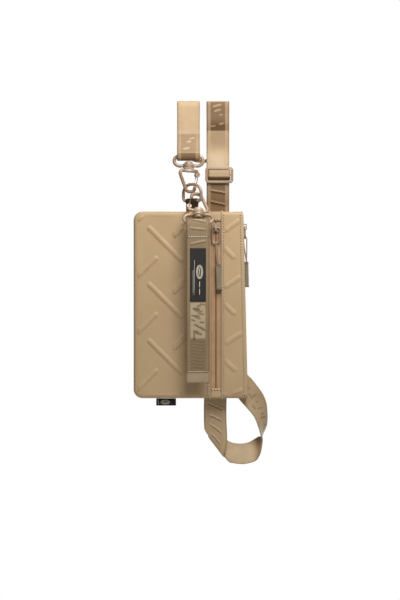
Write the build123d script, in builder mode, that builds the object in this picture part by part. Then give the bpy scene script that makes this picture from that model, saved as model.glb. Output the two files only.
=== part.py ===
"""Neck pouch wallet, hanging by its doubled webbing strap from a thin peg.

+Z is up and the embossed front faces -Y. The origin is the axis of the peg that holds the
strap, midway between the two strap legs. All sizes are in millimetres.
"""

import os
from math import atan2, cos, degrees, radians, sin, tan

from build123d import *

# Webbing and the way it hangs
WEBBING_W = 25.0  # width of every strap
WEBBING_T = 1.4
LAYER_GAP = 0.1  # between the two layers of the neck strap
PEG_R = 2.5  # the peg that the strap is draped over
LEFT_LEG_X = -15.5
RIGHT_LEG_X = 17.0
RETURN_R = PEG_R + WEBBING_T / 2  # inner layer of the strap round the peg
MAIN_R = RETURN_R + WEBBING_T + LAYER_GAP  # outer layer
LOOP_BACK_Y = 17.5  # middle of the part of the neck loop that hangs behind the legs
LOOP_TOP_Z = -42.0  # where its U-bend starts

# Pouch
POUCH_LEFT = -76.0
POUCH_RIGHT_TOP = 45.0
POUCH_RIGHT_BOTTOM = 50.0
POUCH_TOP = -117.0
POUCH_BOTTOM = -323.0
POUCH_BACK_Y = -2.0
POUCH_FRONT_Y = -16.0
LEATHER_T = 1.4
LINING_T = 0.5
LEFT_CORNER_R = 10.0
RIGHT_CORNER_R = 4.5

# Hardware
HOOK_WIRE_R = 1.9
RING_WIRE_R = 1.7
EYE_HALF_W = 15.9  # centreline of the strap eye on each hook
EYE_HALF_H = 5.7
EYE_CENTRE_V = 10.5  # above the hook's crossbar
UPPER_HOOK_TURN = 27.0  # about its own axis, left arm forward
UPPER_HOOK_LEAN = 4.0  # forward
LOWER_HOOK_TURN = -12.0
LOWER_HOOK_LEAN = 35.0  # forward, over the pouch's top edge
RING_TURN = 36.0  # about the vertical, right side forward
FIT = 0.3  # running clearance

MID_Y = (POUCH_BACK_Y + POUCH_FRONT_Y) / 2
os.makedirs("parts", exist_ok=True)


def save(piece, label):
    piece.part.label = label
    export_step(piece.part, f"parts/{label}.step")


def front_plane(y):
    """A plane facing the front at depth y; its own x and y run along X and Z."""
    return Plane.XZ.offset(-y)


def slab(label, points, y_back, thickness, corner=0.0, edge=0.0):
    """A flat piece in the pouch's own plane, from its outline, its back face and its thickness."""
    with BuildPart() as piece:
        with BuildSketch(front_plane(y_back)) as outline:
            with BuildLine():
                Polyline(*points, close=True)
            make_face()
            if corner:
                fillet(outline.vertices(), corner)
        extrude(amount=thickness)
        if edge:
            fillet(piece.faces().sort_by(Axis.Y)[0].edges(), edge)
    save(piece, label)


def box_points(x0, x1, z0, z1):
    return [(x0, z0), (x1, z0), (x1, z1), (x0, z1)]


def right_edge_x(z):
    """The pouch's right edge leans outward towards the bottom."""
    share = (POUCH_TOP - z) / (POUCH_TOP - POUCH_BOTTOM)
    return POUCH_RIGHT_TOP + share * (POUCH_RIGHT_BOTTOM - POUCH_RIGHT_TOP)


def pouch_outline(inset=0.0):
    """The pouch's outline, or the same outline moved in by an even margin."""
    with BuildSketch() as outline:
        with BuildLine():
            Polyline(
                (POUCH_LEFT, POUCH_BOTTOM),
                (POUCH_RIGHT_BOTTOM, POUCH_BOTTOM),
                (POUCH_RIGHT_TOP, POUCH_TOP),
                (POUCH_LEFT, POUCH_TOP),
                close=True,
            )
        make_face()
        fillet(outline.vertices().group_by(Axis.X)[0], LEFT_CORNER_R)
        fillet(outline.vertices().sort_by(Axis.X)[-2:], RIGHT_CORNER_R)
        if inset:
            offset(amount=-inset, kind=Kind.INTERSECTION)
    return outline.sketch


def outline_sheet(label, inset, y_back, thickness):
    with BuildPart() as piece:
        with BuildSketch(front_plane(y_back)):
            add(pouch_outline(inset))
        extrude(amount=thickness)
    save(piece, label)


# ---------------------------------------------------------------- pouch shell and linings

ZIP_LEFT = 9.0  # the front opening that the vertical zipper closes
ZIP_RIGHT = 20.5
ZIP_X = (ZIP_LEFT + ZIP_RIGHT) / 2
RIDGE_W = 4.0
RIDGE_H = 0.9
RIDGE_PITCH = 62.0  # height of one repeat of the embossed pattern
RIDGE_ROWS = 3
BACK_INNER_Y = POUCH_BACK_Y - LEATHER_T
FRONT_INNER_Y = POUCH_FRONT_Y + LEATHER_T
DIVIDER_Y = -9.4

outline_sheet("back_panel", 0.0, POUCH_BACK_Y, LEATHER_T)
outline_sheet("back_lining", 5.0, BACK_INNER_Y - 0.1, LINING_T)
outline_sheet("pocket_divider", 5.0, DIVIDER_Y, LINING_T)
slab("card_pocket", box_points(-66.0, 30.0, -312.0, -205.0), -4.2, LINING_T, corner=3.0)


def ridge(start, end):
    """One raised bar of the embossed pattern, with round ends."""
    length = (end - start).length
    slope = degrees(atan2(end.Y - start.Y, end.X - start.X))
    with Locations((start + end) / 2):
        SlotOverall(length + RIDGE_W, RIDGE_W, rotation=slope)


def ridge_row(top):
    """One repeat of the bars on the front panel, below the height top."""
    ridge(Vector(-58.3, top - 19.0), Vector(-23.4, top - 54.5))  # long bar
    ridge(Vector(-51.5, top - 53.0), Vector(-71.0, top - 72.0))  # short bar to the left edge
    ridge(Vector(-23.0, top - 19.0), Vector(-30.4, top - 27.0))  # end of a bar under the key strap


with BuildPart() as front_panel:
    with BuildSketch(front_plane(FRONT_INNER_Y)) as panel_outline:
        add(pouch_outline())
        with Locations((ZIP_LEFT + 100.0, (POUCH_TOP + POUCH_BOTTOM) / 2)):
            Rectangle(200.0, 300.0, mode=Mode.SUBTRACT)
    extrude(amount=LEATHER_T)
    fillet(front_panel.faces().sort_by(Axis.Y)[0].edges().group_by(Axis.X)[0], 0.8)
    for row in range(RIDGE_ROWS):
        with BuildSketch(front_plane(POUCH_FRONT_Y)):
            ridge_row(POUCH_TOP - row * RIDGE_PITCH)
        extrude(amount=RIDGE_H)
save(front_panel, "front_panel")

with BuildPart() as front_strip:
    with BuildSketch(front_plane(FRONT_INNER_Y)):
        add(pouch_outline())
        with Locations((ZIP_RIGHT - 100.0, (POUCH_TOP + POUCH_BOTTOM) / 2)):
            Rectangle(200.0, 300.0, mode=Mode.SUBTRACT)
    extrude(amount=LEATHER_T)
    for row in range(RIDGE_ROWS):
        level = POUCH_TOP - row * RIDGE_PITCH
        with BuildSketch(front_plane(POUCH_FRONT_Y)):
            ridge(Vector(39.5, level - 8.0), Vector(26.5, level - 20.0))
            ridge(Vector(26.5, level - 42.0), Vector(32.5, level - 50.0))
        extrude(amount=RIDGE_H)
save(front_strip, "front_strip")

# The wall round the left, top and bottom; the right side is the side zipper.
with BuildPart() as gusset:
    with BuildSketch(front_plane(BACK_INNER_Y)) as wall:
        add(pouch_outline())
        add(pouch_outline(1.6), mode=Mode.SUBTRACT)
        with Locations((POUCH_RIGHT_BOTTOM, (POUCH_TOP + POUCH_BOTTOM) / 2)):
            Rectangle(20.0, POUCH_TOP - POUCH_BOTTOM - 2 * RIGHT_CORNER_R - 4.0, mode=Mode.SUBTRACT)
    extrude(amount=BACK_INNER_Y - FRONT_INNER_Y)
save(gusset, "gusset")

# ---------------------------------------------------------------- front zipper

TAPE_Y = -13.9  # back face of the recessed zipper tape
TAPE_T = 0.5
TAPE_LAP = 3.0  # tape sewn under the leather on each side
ZIP_TOP = POUCH_TOP - 11.0
ZIP_END = POUCH_BOTTOM + 11.5
SLOT = 0.5  # between the two tapes, where the slider's post runs
COIL_W = 1.3
COIL_H = 1.1
COIL_Y = TAPE_Y + 0.05 + COIL_H / 2  # middle of the coils, behind the tapes
JOIN_GAP = 0.1  # between the end patches and the leather round them

left_tape = box_points(ZIP_LEFT - TAPE_LAP, ZIP_X - SLOT / 2, ZIP_END, ZIP_TOP)
right_tape = box_points(ZIP_X + SLOT / 2, ZIP_RIGHT + TAPE_LAP, ZIP_END, ZIP_TOP)
slab("front_zip_tape_left", left_tape, TAPE_Y, TAPE_T)
slab("front_zip_tape_right", right_tape, TAPE_Y, TAPE_T)
for side, label in ((-1, "left"), (1, "right")):
    middle = ZIP_X + side * (SLOT + COIL_W) / 2
    with BuildPart() as coil_row:
        with BuildSketch(Plane.XY.offset(ZIP_END)):
            with Locations((middle, COIL_Y)):
                RectangleRounded(COIL_W, COIL_H, 0.4)
        extrude(amount=ZIP_TOP - ZIP_END)
    save(coil_row, f"front_zip_coil_{label}")
top_patch = box_points(ZIP_LEFT, ZIP_RIGHT, ZIP_TOP, POUCH_TOP - JOIN_GAP)
end_patch = box_points(ZIP_LEFT, ZIP_RIGHT, POUCH_BOTTOM + JOIN_GAP, ZIP_END)
slab("front_zip_top_patch", top_patch, FRONT_INNER_Y, LEATHER_T)
slab("front_zip_end_patch", end_patch, FRONT_INNER_Y, LEATHER_T)


def slider(label, plane, post):
    """A zipper slider: two wings joined by a post, with a bridge on the front for its puller.

    plane sits at the slider's centre with its z out of the pouch and its y up the zipper;
    the wings run either side of the tape and coil.
    """
    front_wing, back_wing = 0.35, -2.75
    with BuildPart() as body:
        with BuildSketch(plane.offset(front_wing)) as wing:
            with BuildLine():
                Polyline(
                    (-2.6, -5.0), (2.6, -5.0), (4.0, 1.0), (4.0, 5.0), (-4.0, 5.0), (-4.0, 1.0), close=True
                )
            make_face()
            fillet(wing.vertices(), 0.9)
        extrude(amount=1.4)
        with BuildSketch(plane.offset(back_wing)):
            RectangleRounded(6.0, 9.0, 1.2)
        extrude(amount=0.7)
        with BuildSketch(plane.offset(back_wing)):
            with Locations((0, 2.5)):
                Rectangle(post, 3.0)
        extrude(amount=front_wing - back_wing + 0.2)
        foot = front_wing + 1.3
        with BuildSketch(Plane(plane.origin, x_dir=plane.y_dir, z_dir=plane.x_dir).offset(-1.1)):
            with BuildLine():
                Polyline((-3.2, foot), (-3.2, 5.1), (3.2, 5.1), (3.2, foot), close=True)
            make_face()
            with BuildLine():
                Polyline((-2.1, foot), (-2.1, 4.1), (2.1, 4.1), (2.1, foot), close=True)
            make_face(mode=Mode.SUBTRACT)
        extrude(amount=2.2)
    save(body, label)


def tube(path, radius):
    """A round bar along a path."""
    with BuildSketch(Plane(path @ 0, z_dir=path % 0)) as section:
        Circle(radius)
    sweep(sections=section.sketch, path=path)


PULL_WIRE_R = 0.9
PULL_CORD_R = 0.7
PULL_BAR_OUT = 2.9  # the puller's pivot bar, out from the tape
SLEEVE_W = 6.4
SLEEVE_T = 3.2
SLEEVE_L = 28.0


def pull(prefix, plane, loop_h, cord_l, drift):
    """The wire loop, the doubled cord and the grip sleeve that hang from a slider.

    drift is how far to one side the sleeve hangs.
    """
    half_w = 4.2
    out = PULL_BAR_OUT
    with BuildPart() as loop:
        with BuildLine(plane.offset(out)) as ring:
            FilletPolyline(
                (-half_w, 0), (half_w, 0), (half_w, -loop_h), (-half_w, -loop_h),
                radius=[2.0, 2.0, 3.6, 3.6], close=True,
            )
        tube(ring.line, PULL_WIRE_R)
    save(loop, f"{prefix}_puller")

    wrap = PULL_WIRE_R + PULL_CORD_R + 0.1
    turn = -loop_h + wrap
    below = -loop_h - 7.0
    end = -loop_h - cord_l
    route = [
        (drift - 0.9, end, out + 0.9),
        (0.4 * drift - 0.8, below, out + wrap),
        (0.4 * drift - 0.8, turn, out + wrap),
        (0.4 * drift + 0.8, turn, out - wrap),
        (0.4 * drift + 0.8, below, out - wrap),
        (drift + 0.9, end, out + 0.9),
    ]
    with BuildPart() as cord:
        with BuildLine() as line:
            points = [plane.from_local_coords(Vector(*p)) for p in route]
            FilletPolyline(*points, radius=[8.0, wrap, wrap, 8.0])
        tube(line.line, PULL_CORD_R)
    save(cord, f"{prefix}_pull_cord")

    with BuildPart() as sleeve:
        with BuildSketch(plane.offset(out + 0.9 - SLEEVE_T / 2)):
            with Locations((drift, end - SLEEVE_L / 2)):
                RectangleRounded(SLEEVE_W, SLEEVE_L, 1.5)
        extrude(amount=SLEEVE_T)
    save(sleeve, f"{prefix}_pull_sleeve")


FRONT_SLIDER_Z = -135.0
front_slide = Plane((ZIP_X, -14.4, FRONT_SLIDER_Z), x_dir=(1, 0, 0), z_dir=(0, -1, 0))
slider("front_slider", front_slide, SLOT - 0.2)
pull("front", front_slide, 17.0, 23.5, 3.2)

# ---------------------------------------------------------------- side zipper

SIDE_SLIDER_Z = -134.0
SIDE_TOP = POUCH_TOP - 7.5
SIDE_END = POUCH_BOTTOM + 8.0
SIDE_HALF = (BACK_INNER_Y - FRONT_INNER_Y) / 2 - 0.2
edge_down = Vector(POUCH_RIGHT_BOTTOM - POUCH_RIGHT_TOP, 0, POUCH_BOTTOM - POUCH_TOP).normalized()
edge_out = Vector(-edge_down.Z, 0, edge_down.X)


def side_plane(z, depth):
    """A plane facing out of the pouch's right edge, at height z and this far under the edge."""
    on_edge = Vector(right_edge_x(z), MID_Y, z) - edge_out * depth
    return Plane(on_edge, x_dir=(0, 1, 0), z_dir=edge_out)


def side_bar(label, y0, y1, depth, thickness):
    """A straight strip along the side zipper, between two offsets from its middle."""
    length = (SIDE_TOP - SIDE_END) / -edge_down.Z
    with BuildPart() as strip:
        with BuildSketch(side_plane(SIDE_TOP, depth)):
            with Locations(((y0 + y1) / 2, -length / 2)):
                Rectangle(y1 - y0, length)
        extrude(amount=thickness)
    save(strip, label)


SIDE_TAPE_DEPTH = 2.1  # of the tapes' inner face, under the pouch's edge
SIDE_COIL_DEPTH = SIDE_TAPE_DEPTH + COIL_H + 0.1
side_bar("side_zip_tape_back", SLOT / 2, SIDE_HALF, SIDE_TAPE_DEPTH, TAPE_T)
side_bar("side_zip_tape_front", -SIDE_HALF, -SLOT / 2, SIDE_TAPE_DEPTH, TAPE_T)
side_bar("side_zip_coil_back", SLOT / 2, SLOT / 2 + COIL_W, SIDE_COIL_DEPTH, COIL_H)
side_bar("side_zip_coil_front", -SLOT / 2 - COIL_W, -SLOT / 2, SIDE_COIL_DEPTH, COIL_H)
side_slide = side_plane(SIDE_SLIDER_Z, SIDE_TAPE_DEPTH - TAPE_T)
slider("side_slider", side_slide, SLOT - 0.2)
pull("side", side_slide, 12.5, 26.0, 0.0)

# ---------------------------------------------------------------- swivel hooks

UPPER_HOOK_AT = Vector(-15.3, -7.3, -71.6)  # crossbar of each hook, on its swivel axis
LOWER_HOOK_AT = Vector(-4.6, -23.6, -117.3)
BOSS_R = 6.2
PIN_R = 1.8
KNUCKLE = (10.6, -4.6)


def hook_plane(at, turn, lean, flip):
    """The plane of a hook: x across it towards its gate, y from its mouth to its swivel.

    lean tips the swivel axis in the YZ plane, turn rotates the hook about that axis.
    """
    sign = -1 if flip else 1
    up = Vector(0, sign * sin(radians(lean)), sign * cos(radians(lean)))
    across = Vector(sign, 0, 0).rotate(Axis((0, 0, 0), tuple(up)), turn)
    return Plane(at, x_dir=across, z_dir=across.cross(up))


def spun(plane):
    """The same place seen along the plane's y, for round parts on the swivel axis."""
    return Plane(plane.origin, x_dir=plane.x_dir, z_dir=plane.y_dir)


def hook_body(prefix, plane):
    with BuildPart() as hook:
        with BuildLine(plane) as arm:
            FilletPolyline(
                (0, -0.3), (-12.1, 0.2), (-2.5, -23.5), (7.6, -23.5), (7.6, -18.6),
                radius=[3.4, 5.2, 4.6],
            )
        tube(arm.line, HOOK_WIRE_R)
        with Locations(arm.line @ 1):
            Sphere(HOOK_WIRE_R)
        with BuildLine(plane) as shoulder:
            FilletPolyline((0, -0.3), (11.2, -0.8), KNUCKLE, radius=2.2)
        tube(shoulder.line, HOOK_WIRE_R)
        with BuildSketch(plane.offset(-2.1)):
            with Locations(KNUCKLE):
                Circle(2.7)
        extrude(amount=4.2)
        with BuildSketch(spun(plane).offset(-1.7)):
            Circle(5.8)
        extrude(amount=3.2)
        with BuildSketch(spun(plane).offset(-3.0)):
            Circle(PIN_R)
        extrude(amount=6.0, mode=Mode.SUBTRACT)
        with BuildSketch(plane.offset(-4.0)):
            with Locations(KNUCKLE):
                Circle(0.85)
        extrude(amount=8.0, mode=Mode.SUBTRACT)
    save(hook, f"{prefix}_hook")


def swivel_pin(prefix, plane):
    """The rivet that holds the hook in the eye's boss."""
    with BuildPart() as pin:
        with BuildSketch(spun(plane).offset(-2.2)):
            Circle(PIN_R)
        extrude(amount=9.6)
        with BuildSketch(spun(plane).offset(7.4)):
            Circle(4.6)
        extrude(amount=2.4)
        crown = pin.faces().sort_by(Axis(plane.origin, plane.y_dir))[-1]
        fillet(crown.edges(), 2.2)
    save(pin, f"{prefix}_swivel_pin")


def wire_gate(prefix, plane):
    """A hairpin of thin wire from the knuckle to the end of the hook, on a pin."""
    gate_r = 0.55
    nose = (8.6, -15.6)
    with BuildPart() as gate:
        for side in (-1, 1):
            route = [(*KNUCKLE, side * 2.9), (10.0, -8.4, side * 2.9), (*nose, side * 1.1)]
            leg_points = [plane.from_local_coords(Vector(*p)) for p in route]
            with BuildLine() as leg:
                FilletPolyline(*leg_points, radius=2.0)
            tube(leg.line, gate_r)
            with Locations(leg_points[-1]):
                Sphere(gate_r)
        with BuildSketch(plane.offset(-1.1)):
            with Locations(nose):
                Circle(gate_r)
        extrude(amount=2.2)
        with BuildSketch(plane.offset(-3.3)):
            with Locations(KNUCKLE):
                Circle(0.6)
        extrude(amount=6.6)
    save(gate, f"{prefix}_gate")


def strap_eye(prefix, plane):
    """The oval eye for the webbing, with the grooved boss that the hook turns in."""
    bar = 9.0
    end_w = EYE_HALF_W - bar
    low, high = EYE_CENTRE_V - EYE_HALF_H, EYE_CENTRE_V + EYE_HALF_H
    with BuildPart() as eye:
        with BuildLine(plane) as oval:
            Line((0, high), (-bar, high))
            EllipticalCenterArc((-bar, EYE_CENTRE_V), end_w, EYE_HALF_H, start_angle=90, arc_size=180)
            Line((-bar, low), (bar, low))
            EllipticalCenterArc((bar, EYE_CENTRE_V), end_w, EYE_HALF_H, start_angle=-90, arc_size=180)
            Line((bar, high), (0, high))
        tube(oval.line, HOOK_WIRE_R)
        with BuildSketch(spun(plane).offset(2.2)):
            Circle(BOSS_R)
        extrude(amount=4.9)
        with BuildSketch(spun(plane)):
            Circle(PIN_R + FIT)
        extrude(amount=9.0, mode=Mode.SUBTRACT)
        for level in (3.2, 4.9):
            with BuildSketch(spun(plane).offset(level)):
                Circle(BOSS_R + 2.0)
                Circle(BOSS_R - 0.4, mode=Mode.SUBTRACT)
            extrude(amount=0.6, mode=Mode.SUBTRACT)
    save(eye, f"{prefix}_eye")


upper_eye_plane = hook_plane(UPPER_HOOK_AT, 0, UPPER_HOOK_LEAN, False)
upper_plane = hook_plane(UPPER_HOOK_AT, UPPER_HOOK_TURN, UPPER_HOOK_LEAN, False)
lower_plane = hook_plane(LOWER_HOOK_AT, LOWER_HOOK_TURN, LOWER_HOOK_LEAN, True)
lower_eye_plane = hook_plane(LOWER_HOOK_AT, 0, LOWER_HOOK_LEAN, True)
placed = (("upper", upper_plane, upper_eye_plane), ("lower", lower_plane, lower_eye_plane))
for name, hook_at, eye_at in placed:
    hook_body(name, hook_at)
    swivel_pin(name, hook_at)
    wire_gate(name, hook_at)
    strap_eye(name, eye_at)

# ---------------------------------------------------------------- D-ring and its tab

RING_W = 24.0  # centreline
RING_H = 18.4
RING_BAR = Vector(-11.3, -10.0, -105.5)  # middle of the straight bar in the tab
TAB_LOOP_W = 15.5
TAB_T = 2.2
ring_plane = Plane(
    RING_BAR,
    x_dir=(cos(radians(RING_TURN)), -sin(radians(RING_TURN)), 0),
    z_dir=(-sin(radians(RING_TURN)), -cos(radians(RING_TURN)), 0),
)
with BuildPart() as d_ring:
    with BuildLine(ring_plane) as ring_line:
        FilletPolyline(
            (-RING_W / 2, 0), (RING_W / 2, 0), (RING_W / 2, RING_H), (-RING_W / 2, RING_H),
            radius=[4.0, 4.0, 10.0, 10.0], close=True,
        )
    tube(ring_line.line, RING_WIRE_R)
save(d_ring, "d_ring")

with BuildPart() as ring_tab:
    across = Plane(RING_BAR, x_dir=-ring_plane.z_dir, z_dir=ring_plane.x_dir)
    drop = RING_BAR.Z - POUCH_TOP
    with BuildSketch(across.offset(-TAB_LOOP_W / 2)):
        Circle(RING_WIRE_R + FIT + 1.0)
        with Locations((0, -(drop + RING_WIRE_R) / 2)):
            Rectangle(TAB_T, drop - RING_WIRE_R)
        Circle(RING_WIRE_R + FIT, mode=Mode.SUBTRACT)
    extrude(amount=TAB_LOOP_W)
save(ring_tab, "ring_tab")

# ---------------------------------------------------------------- key strap

STRAP_BAR = lower_eye_plane.from_local_coords(Vector(0, EYE_CENTRE_V + EYE_HALF_H, 0))
KEY_TOP_R = HOOK_WIRE_R + 1.3 + WEBBING_T / 2  # of the fold over the eye's bar
KEY_END_Z = -305.0
KEY_END_Y = STRAP_BAR.Y
KEY_X = -5.0
LABEL_TOP_Z = -158.0
LABEL_H = 58.0


def ribbon(path, across, width=WEBBING_W, thickness=WEBBING_T):
    """A flat strap along a path that stays in one plane; across is its width direction."""
    with BuildSketch(Plane(path @ 0, x_dir=across, z_dir=path % 0)) as section:
        Rectangle(width, thickness)
    sweep(sections=section.sketch, path=path)


with BuildPart() as key_strap:  # one length of webbing folded over the eye's far bar
    closed = WEBBING_T / 2 + 0.1
    narrow_z = LABEL_TOP_Z - LABEL_H - 8.0
    route = [
        (-closed, KEY_END_Z), (-closed, narrow_z - 26.0), (-KEY_TOP_R, narrow_z),
        (-KEY_TOP_R, STRAP_BAR.Z + KEY_TOP_R), (KEY_TOP_R, STRAP_BAR.Z + KEY_TOP_R),
        (KEY_TOP_R, narrow_z), (closed, narrow_z - 26.0), (closed, KEY_END_Z),
    ]
    bend = KEY_TOP_R - 0.05
    with BuildLine() as key_line:
        FilletPolyline(
            *[(KEY_X, KEY_END_Y + y, z) for y, z in route],
            radius=[60.0, 60.0, bend, bend, 60.0, 60.0],
        )
    ribbon(key_line.line, (1, 0, 0))
save(key_strap, "key_strap")

with BuildPart() as key_label:
    with BuildSketch(front_plane(KEY_END_Y - KEY_TOP_R - WEBBING_T / 2)):
        with Locations((KEY_X, LABEL_TOP_Z - LABEL_H / 2)):
            RectangleRounded(17.4, LABEL_H, 0.5)
    extrude(amount=0.5)
save(key_label, "key_label")

# ---------------------------------------------------------------- tri-glide

GLIDE_X = 18.5
GLIDE_Z = -76.7
GLIDE_W = 31.0
GLIDE_H = 18.2
GLIDE_T = 2.4
GLIDE_BACK_Y = -MAIN_R - WEBBING_T / 2 - FIT
BAR_H = 3.0
HUMP_W = 24.4
with BuildPart() as tri_glide:
    with BuildSketch(front_plane(GLIDE_BACK_Y)):
        with Locations((GLIDE_X, GLIDE_Z)):
            RectangleRounded(GLIDE_W, GLIDE_H, 4.0)
            RectangleRounded(GLIDE_W - 6.0, GLIDE_H - 2 * BAR_H, 0.8, mode=Mode.SUBTRACT)
    extrude(amount=GLIDE_T)
    fillet(tri_glide.faces().sort_by(Axis.Y)[0].outer_wire().edges(), 0.9)
    with BuildSketch(Plane.YZ.offset(GLIDE_X - GLIDE_W / 2 + 2.0)):
        with Locations((GLIDE_BACK_Y - GLIDE_T / 2, GLIDE_Z)):
            Circle(GLIDE_T / 2)
    extrude(amount=GLIDE_W - 4.0)
save(tri_glide, "tri_glide")

with BuildPart() as glide_hump:  # the strap where it stands over the glide's middle bar
    crest = GLIDE_BACK_Y - GLIDE_T - 0.9
    foot = GLIDE_BACK_Y - 0.75
    reach = GLIDE_H / 2 - BAR_H - 0.9
    with BuildLine() as hump_line:
        FilletPolyline(
            (GLIDE_X, foot, GLIDE_Z + reach), (GLIDE_X, crest, GLIDE_Z + 2.0),
            (GLIDE_X, crest, GLIDE_Z - 2.0), (GLIDE_X, foot, GLIDE_Z - reach),
            radius=1.8,
        )
    ribbon(hump_line.line, (1, 0, 0), width=HUMP_W, thickness=1.2)
save(glide_hump, "glide_hump")

# ---------------------------------------------------------------- neck strap and lower strap

EYE_BAR = upper_eye_plane.from_local_coords(Vector(0, EYE_CENTRE_V + EYE_HALF_H, 0))
FOLD_R = 4.9  # of the strap round the upper eye's bar, at the middle of the webbing
BEHIND_Y = POUCH_BACK_Y + WEBBING_T / 2 + 0.05
STRAP_JOIN_Z = -126.0  # the strap goes on below this height, behind the pouch
LOOP_R = (RIGHT_LEG_X - LEFT_LEG_X) / 2


def back_leg(x, layer_r, side):
    """The sections of a back leg of the neck loop: a quarter twist from the peg to the U-bend."""
    mean_r = (MAIN_R + RETURN_R) / 2
    steps = 4
    faces = []
    for step in range(steps + 1):
        share = step / steps
        angle = radians(90.0 * share) * side
        centre = Vector(x, mean_r + (LOOP_BACK_Y - mean_r) * share, LOOP_TOP_Z * share)
        centre += Vector(-sin(angle), cos(angle), 0) * (layer_r - mean_r)
        with BuildSketch(Plane(centre, x_dir=(cos(angle), sin(angle), 0), z_dir=(0, 0, 1))) as section:
            Rectangle(WEBBING_W, WEBBING_T)
        faces.append(section.sketch)
    return faces


def neck_loop(layer_r):
    """One layer of the neck loop behind the peg: two twisted legs and the U-bend between them."""
    for x, side in ((LEFT_LEG_X, 1), (RIGHT_LEG_X, -1)):
        loft(back_leg(x, layer_r, side), ruled=True)
    bend_r = LOOP_R + layer_r - (MAIN_R + RETURN_R) / 2
    with BuildSketch(Plane.XZ.offset(-LOOP_BACK_Y - WEBBING_W / 2)) as bend:
        with Locations(((LEFT_LEG_X + RIGHT_LEG_X) / 2, LOOP_TOP_Z)):
            Circle(bend_r + WEBBING_T / 2)
            Circle(bend_r - WEBBING_T / 2, mode=Mode.SUBTRACT)
            with Locations((0, LOOP_R)):
                Rectangle(3 * LOOP_R, 2 * LOOP_R, mode=Mode.SUBTRACT)
    extrude(bend.sketch, amount=WEBBING_W)


def over_peg(x, layer_r, *front_points, radii=()):
    """A strap leg in front, from its lowest point up, over the peg to its back."""
    corners = [(x, y, z) for y, z in front_points]
    with BuildLine() as leg:
        corners.append((x, -layer_r, 0))
        front = FilletPolyline(*corners, radius=list(radii)) if radii else Line(*corners)
        ThreePointArc(front @ 1, (x, 0, layer_r), (x, layer_r, 0))
    ribbon(leg.line, (1, 0, 0))


with BuildPart() as neck_strap:
    over_peg(
        RIGHT_LEG_X, MAIN_R,
        (BEHIND_Y, STRAP_JOIN_Z), (BEHIND_Y, POUCH_TOP + 1.0), (-MAIN_R, POUCH_TOP + 22.0),
        radii=(30.0, 30.0),
    )
    over_peg(
        LEFT_LEG_X, MAIN_R,
        (EYE_BAR.Y, EYE_BAR.Z - FOLD_R), (EYE_BAR.Y - FOLD_R, EYE_BAR.Z - FOLD_R),
        (EYE_BAR.Y - FOLD_R, EYE_BAR.Z + 3.0), (-MAIN_R, EYE_BAR.Z + 18.0),
        radii=(FOLD_R - 0.05, 12.0, 30.0),
    )
    neck_loop(MAIN_R)
save(neck_strap, "neck_strap")

with BuildPart() as return_strap:
    over_peg(RIGHT_LEG_X, RETURN_R, (-RETURN_R, GLIDE_Z + 4.0))
    over_peg(
        LEFT_LEG_X, RETURN_R,
        (EYE_BAR.Y, EYE_BAR.Z - FOLD_R), (EYE_BAR.Y + FOLD_R, EYE_BAR.Z - FOLD_R),
        (EYE_BAR.Y + FOLD_R, EYE_BAR.Z + 3.0), (-RETURN_R, EYE_BAR.Z + 16.0),
        radii=(FOLD_R - 0.05, 12.0, 30.0),
    )
    neck_loop(RETURN_R)
save(return_strap, "return_strap")

# Middle line of the lower strap, in the plane behind the pouch: down from the neck strap,
# round the hanging loop and up to its sewn end.
LOWER_ROUTE = [
    (RIGHT_LEG_X, STRAP_JOIN_Z),
    (14.2, POUCH_BOTTOM),
    (13.4, -384.5),
    (58.0, -387.0),
    (66.0, -341.0),
    (43.0, -307.5),
]
with BuildPart() as lower_strap:
    corners = [Vector(x, 0, z) for x, z in LOWER_ROUTE]
    radii = []
    for before, corner, after in zip(corners, corners[1:], corners[2:]):
        half_turn = radians((corner - before).get_angle(after - corner) / 2)
        shorter = min((corner - before).length, (after - corner).length)
        radii.append(min(0.45 * shorter / tan(half_turn), 900.0))
    with BuildLine() as lower_line:
        FilletPolyline(*[Vector(p.X, BEHIND_Y, p.Z) for p in corners], radius=radii)
    ribbon(lower_line.line, (lower_line.line % 0).cross(Vector(0, 1, 0)))
save(lower_strap, "lower_strap")

ANCHOR_OUTLINE = [  # the leather that flares out of the pouch's edge over the strap's sewn end
    (29.0, -302.0),
    (45.0, -293.0),
    (53.5, -300.5),
    (49.0, -318.0),
    (36.0, -318.0),
    (29.0, -312.0),
]
ANCHOR_T = 1.2
slab("strap_anchor", ANCHOR_OUTLINE, BEHIND_Y + WEBBING_T / 2 + ANCHOR_T + JOIN_GAP, ANCHOR_T, corner=1.5)

LABEL_T = 1.2
LABEL_TAB = box_points(-51.0, -29.0, POUCH_BOTTOM - 8.2, POUCH_BOTTOM - JOIN_GAP)
slab("side_label", LABEL_TAB, MID_Y + LABEL_T / 2, LABEL_T)
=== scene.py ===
"""The looks of a neck pouch wallet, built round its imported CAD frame.

Sizes are in millimetres in the frame's axes until a mesh is made, in metres.
"""

import math
import random
from functools import partial

import bpy
import numpy as np
from mathutils import Matrix, Vector


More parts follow.
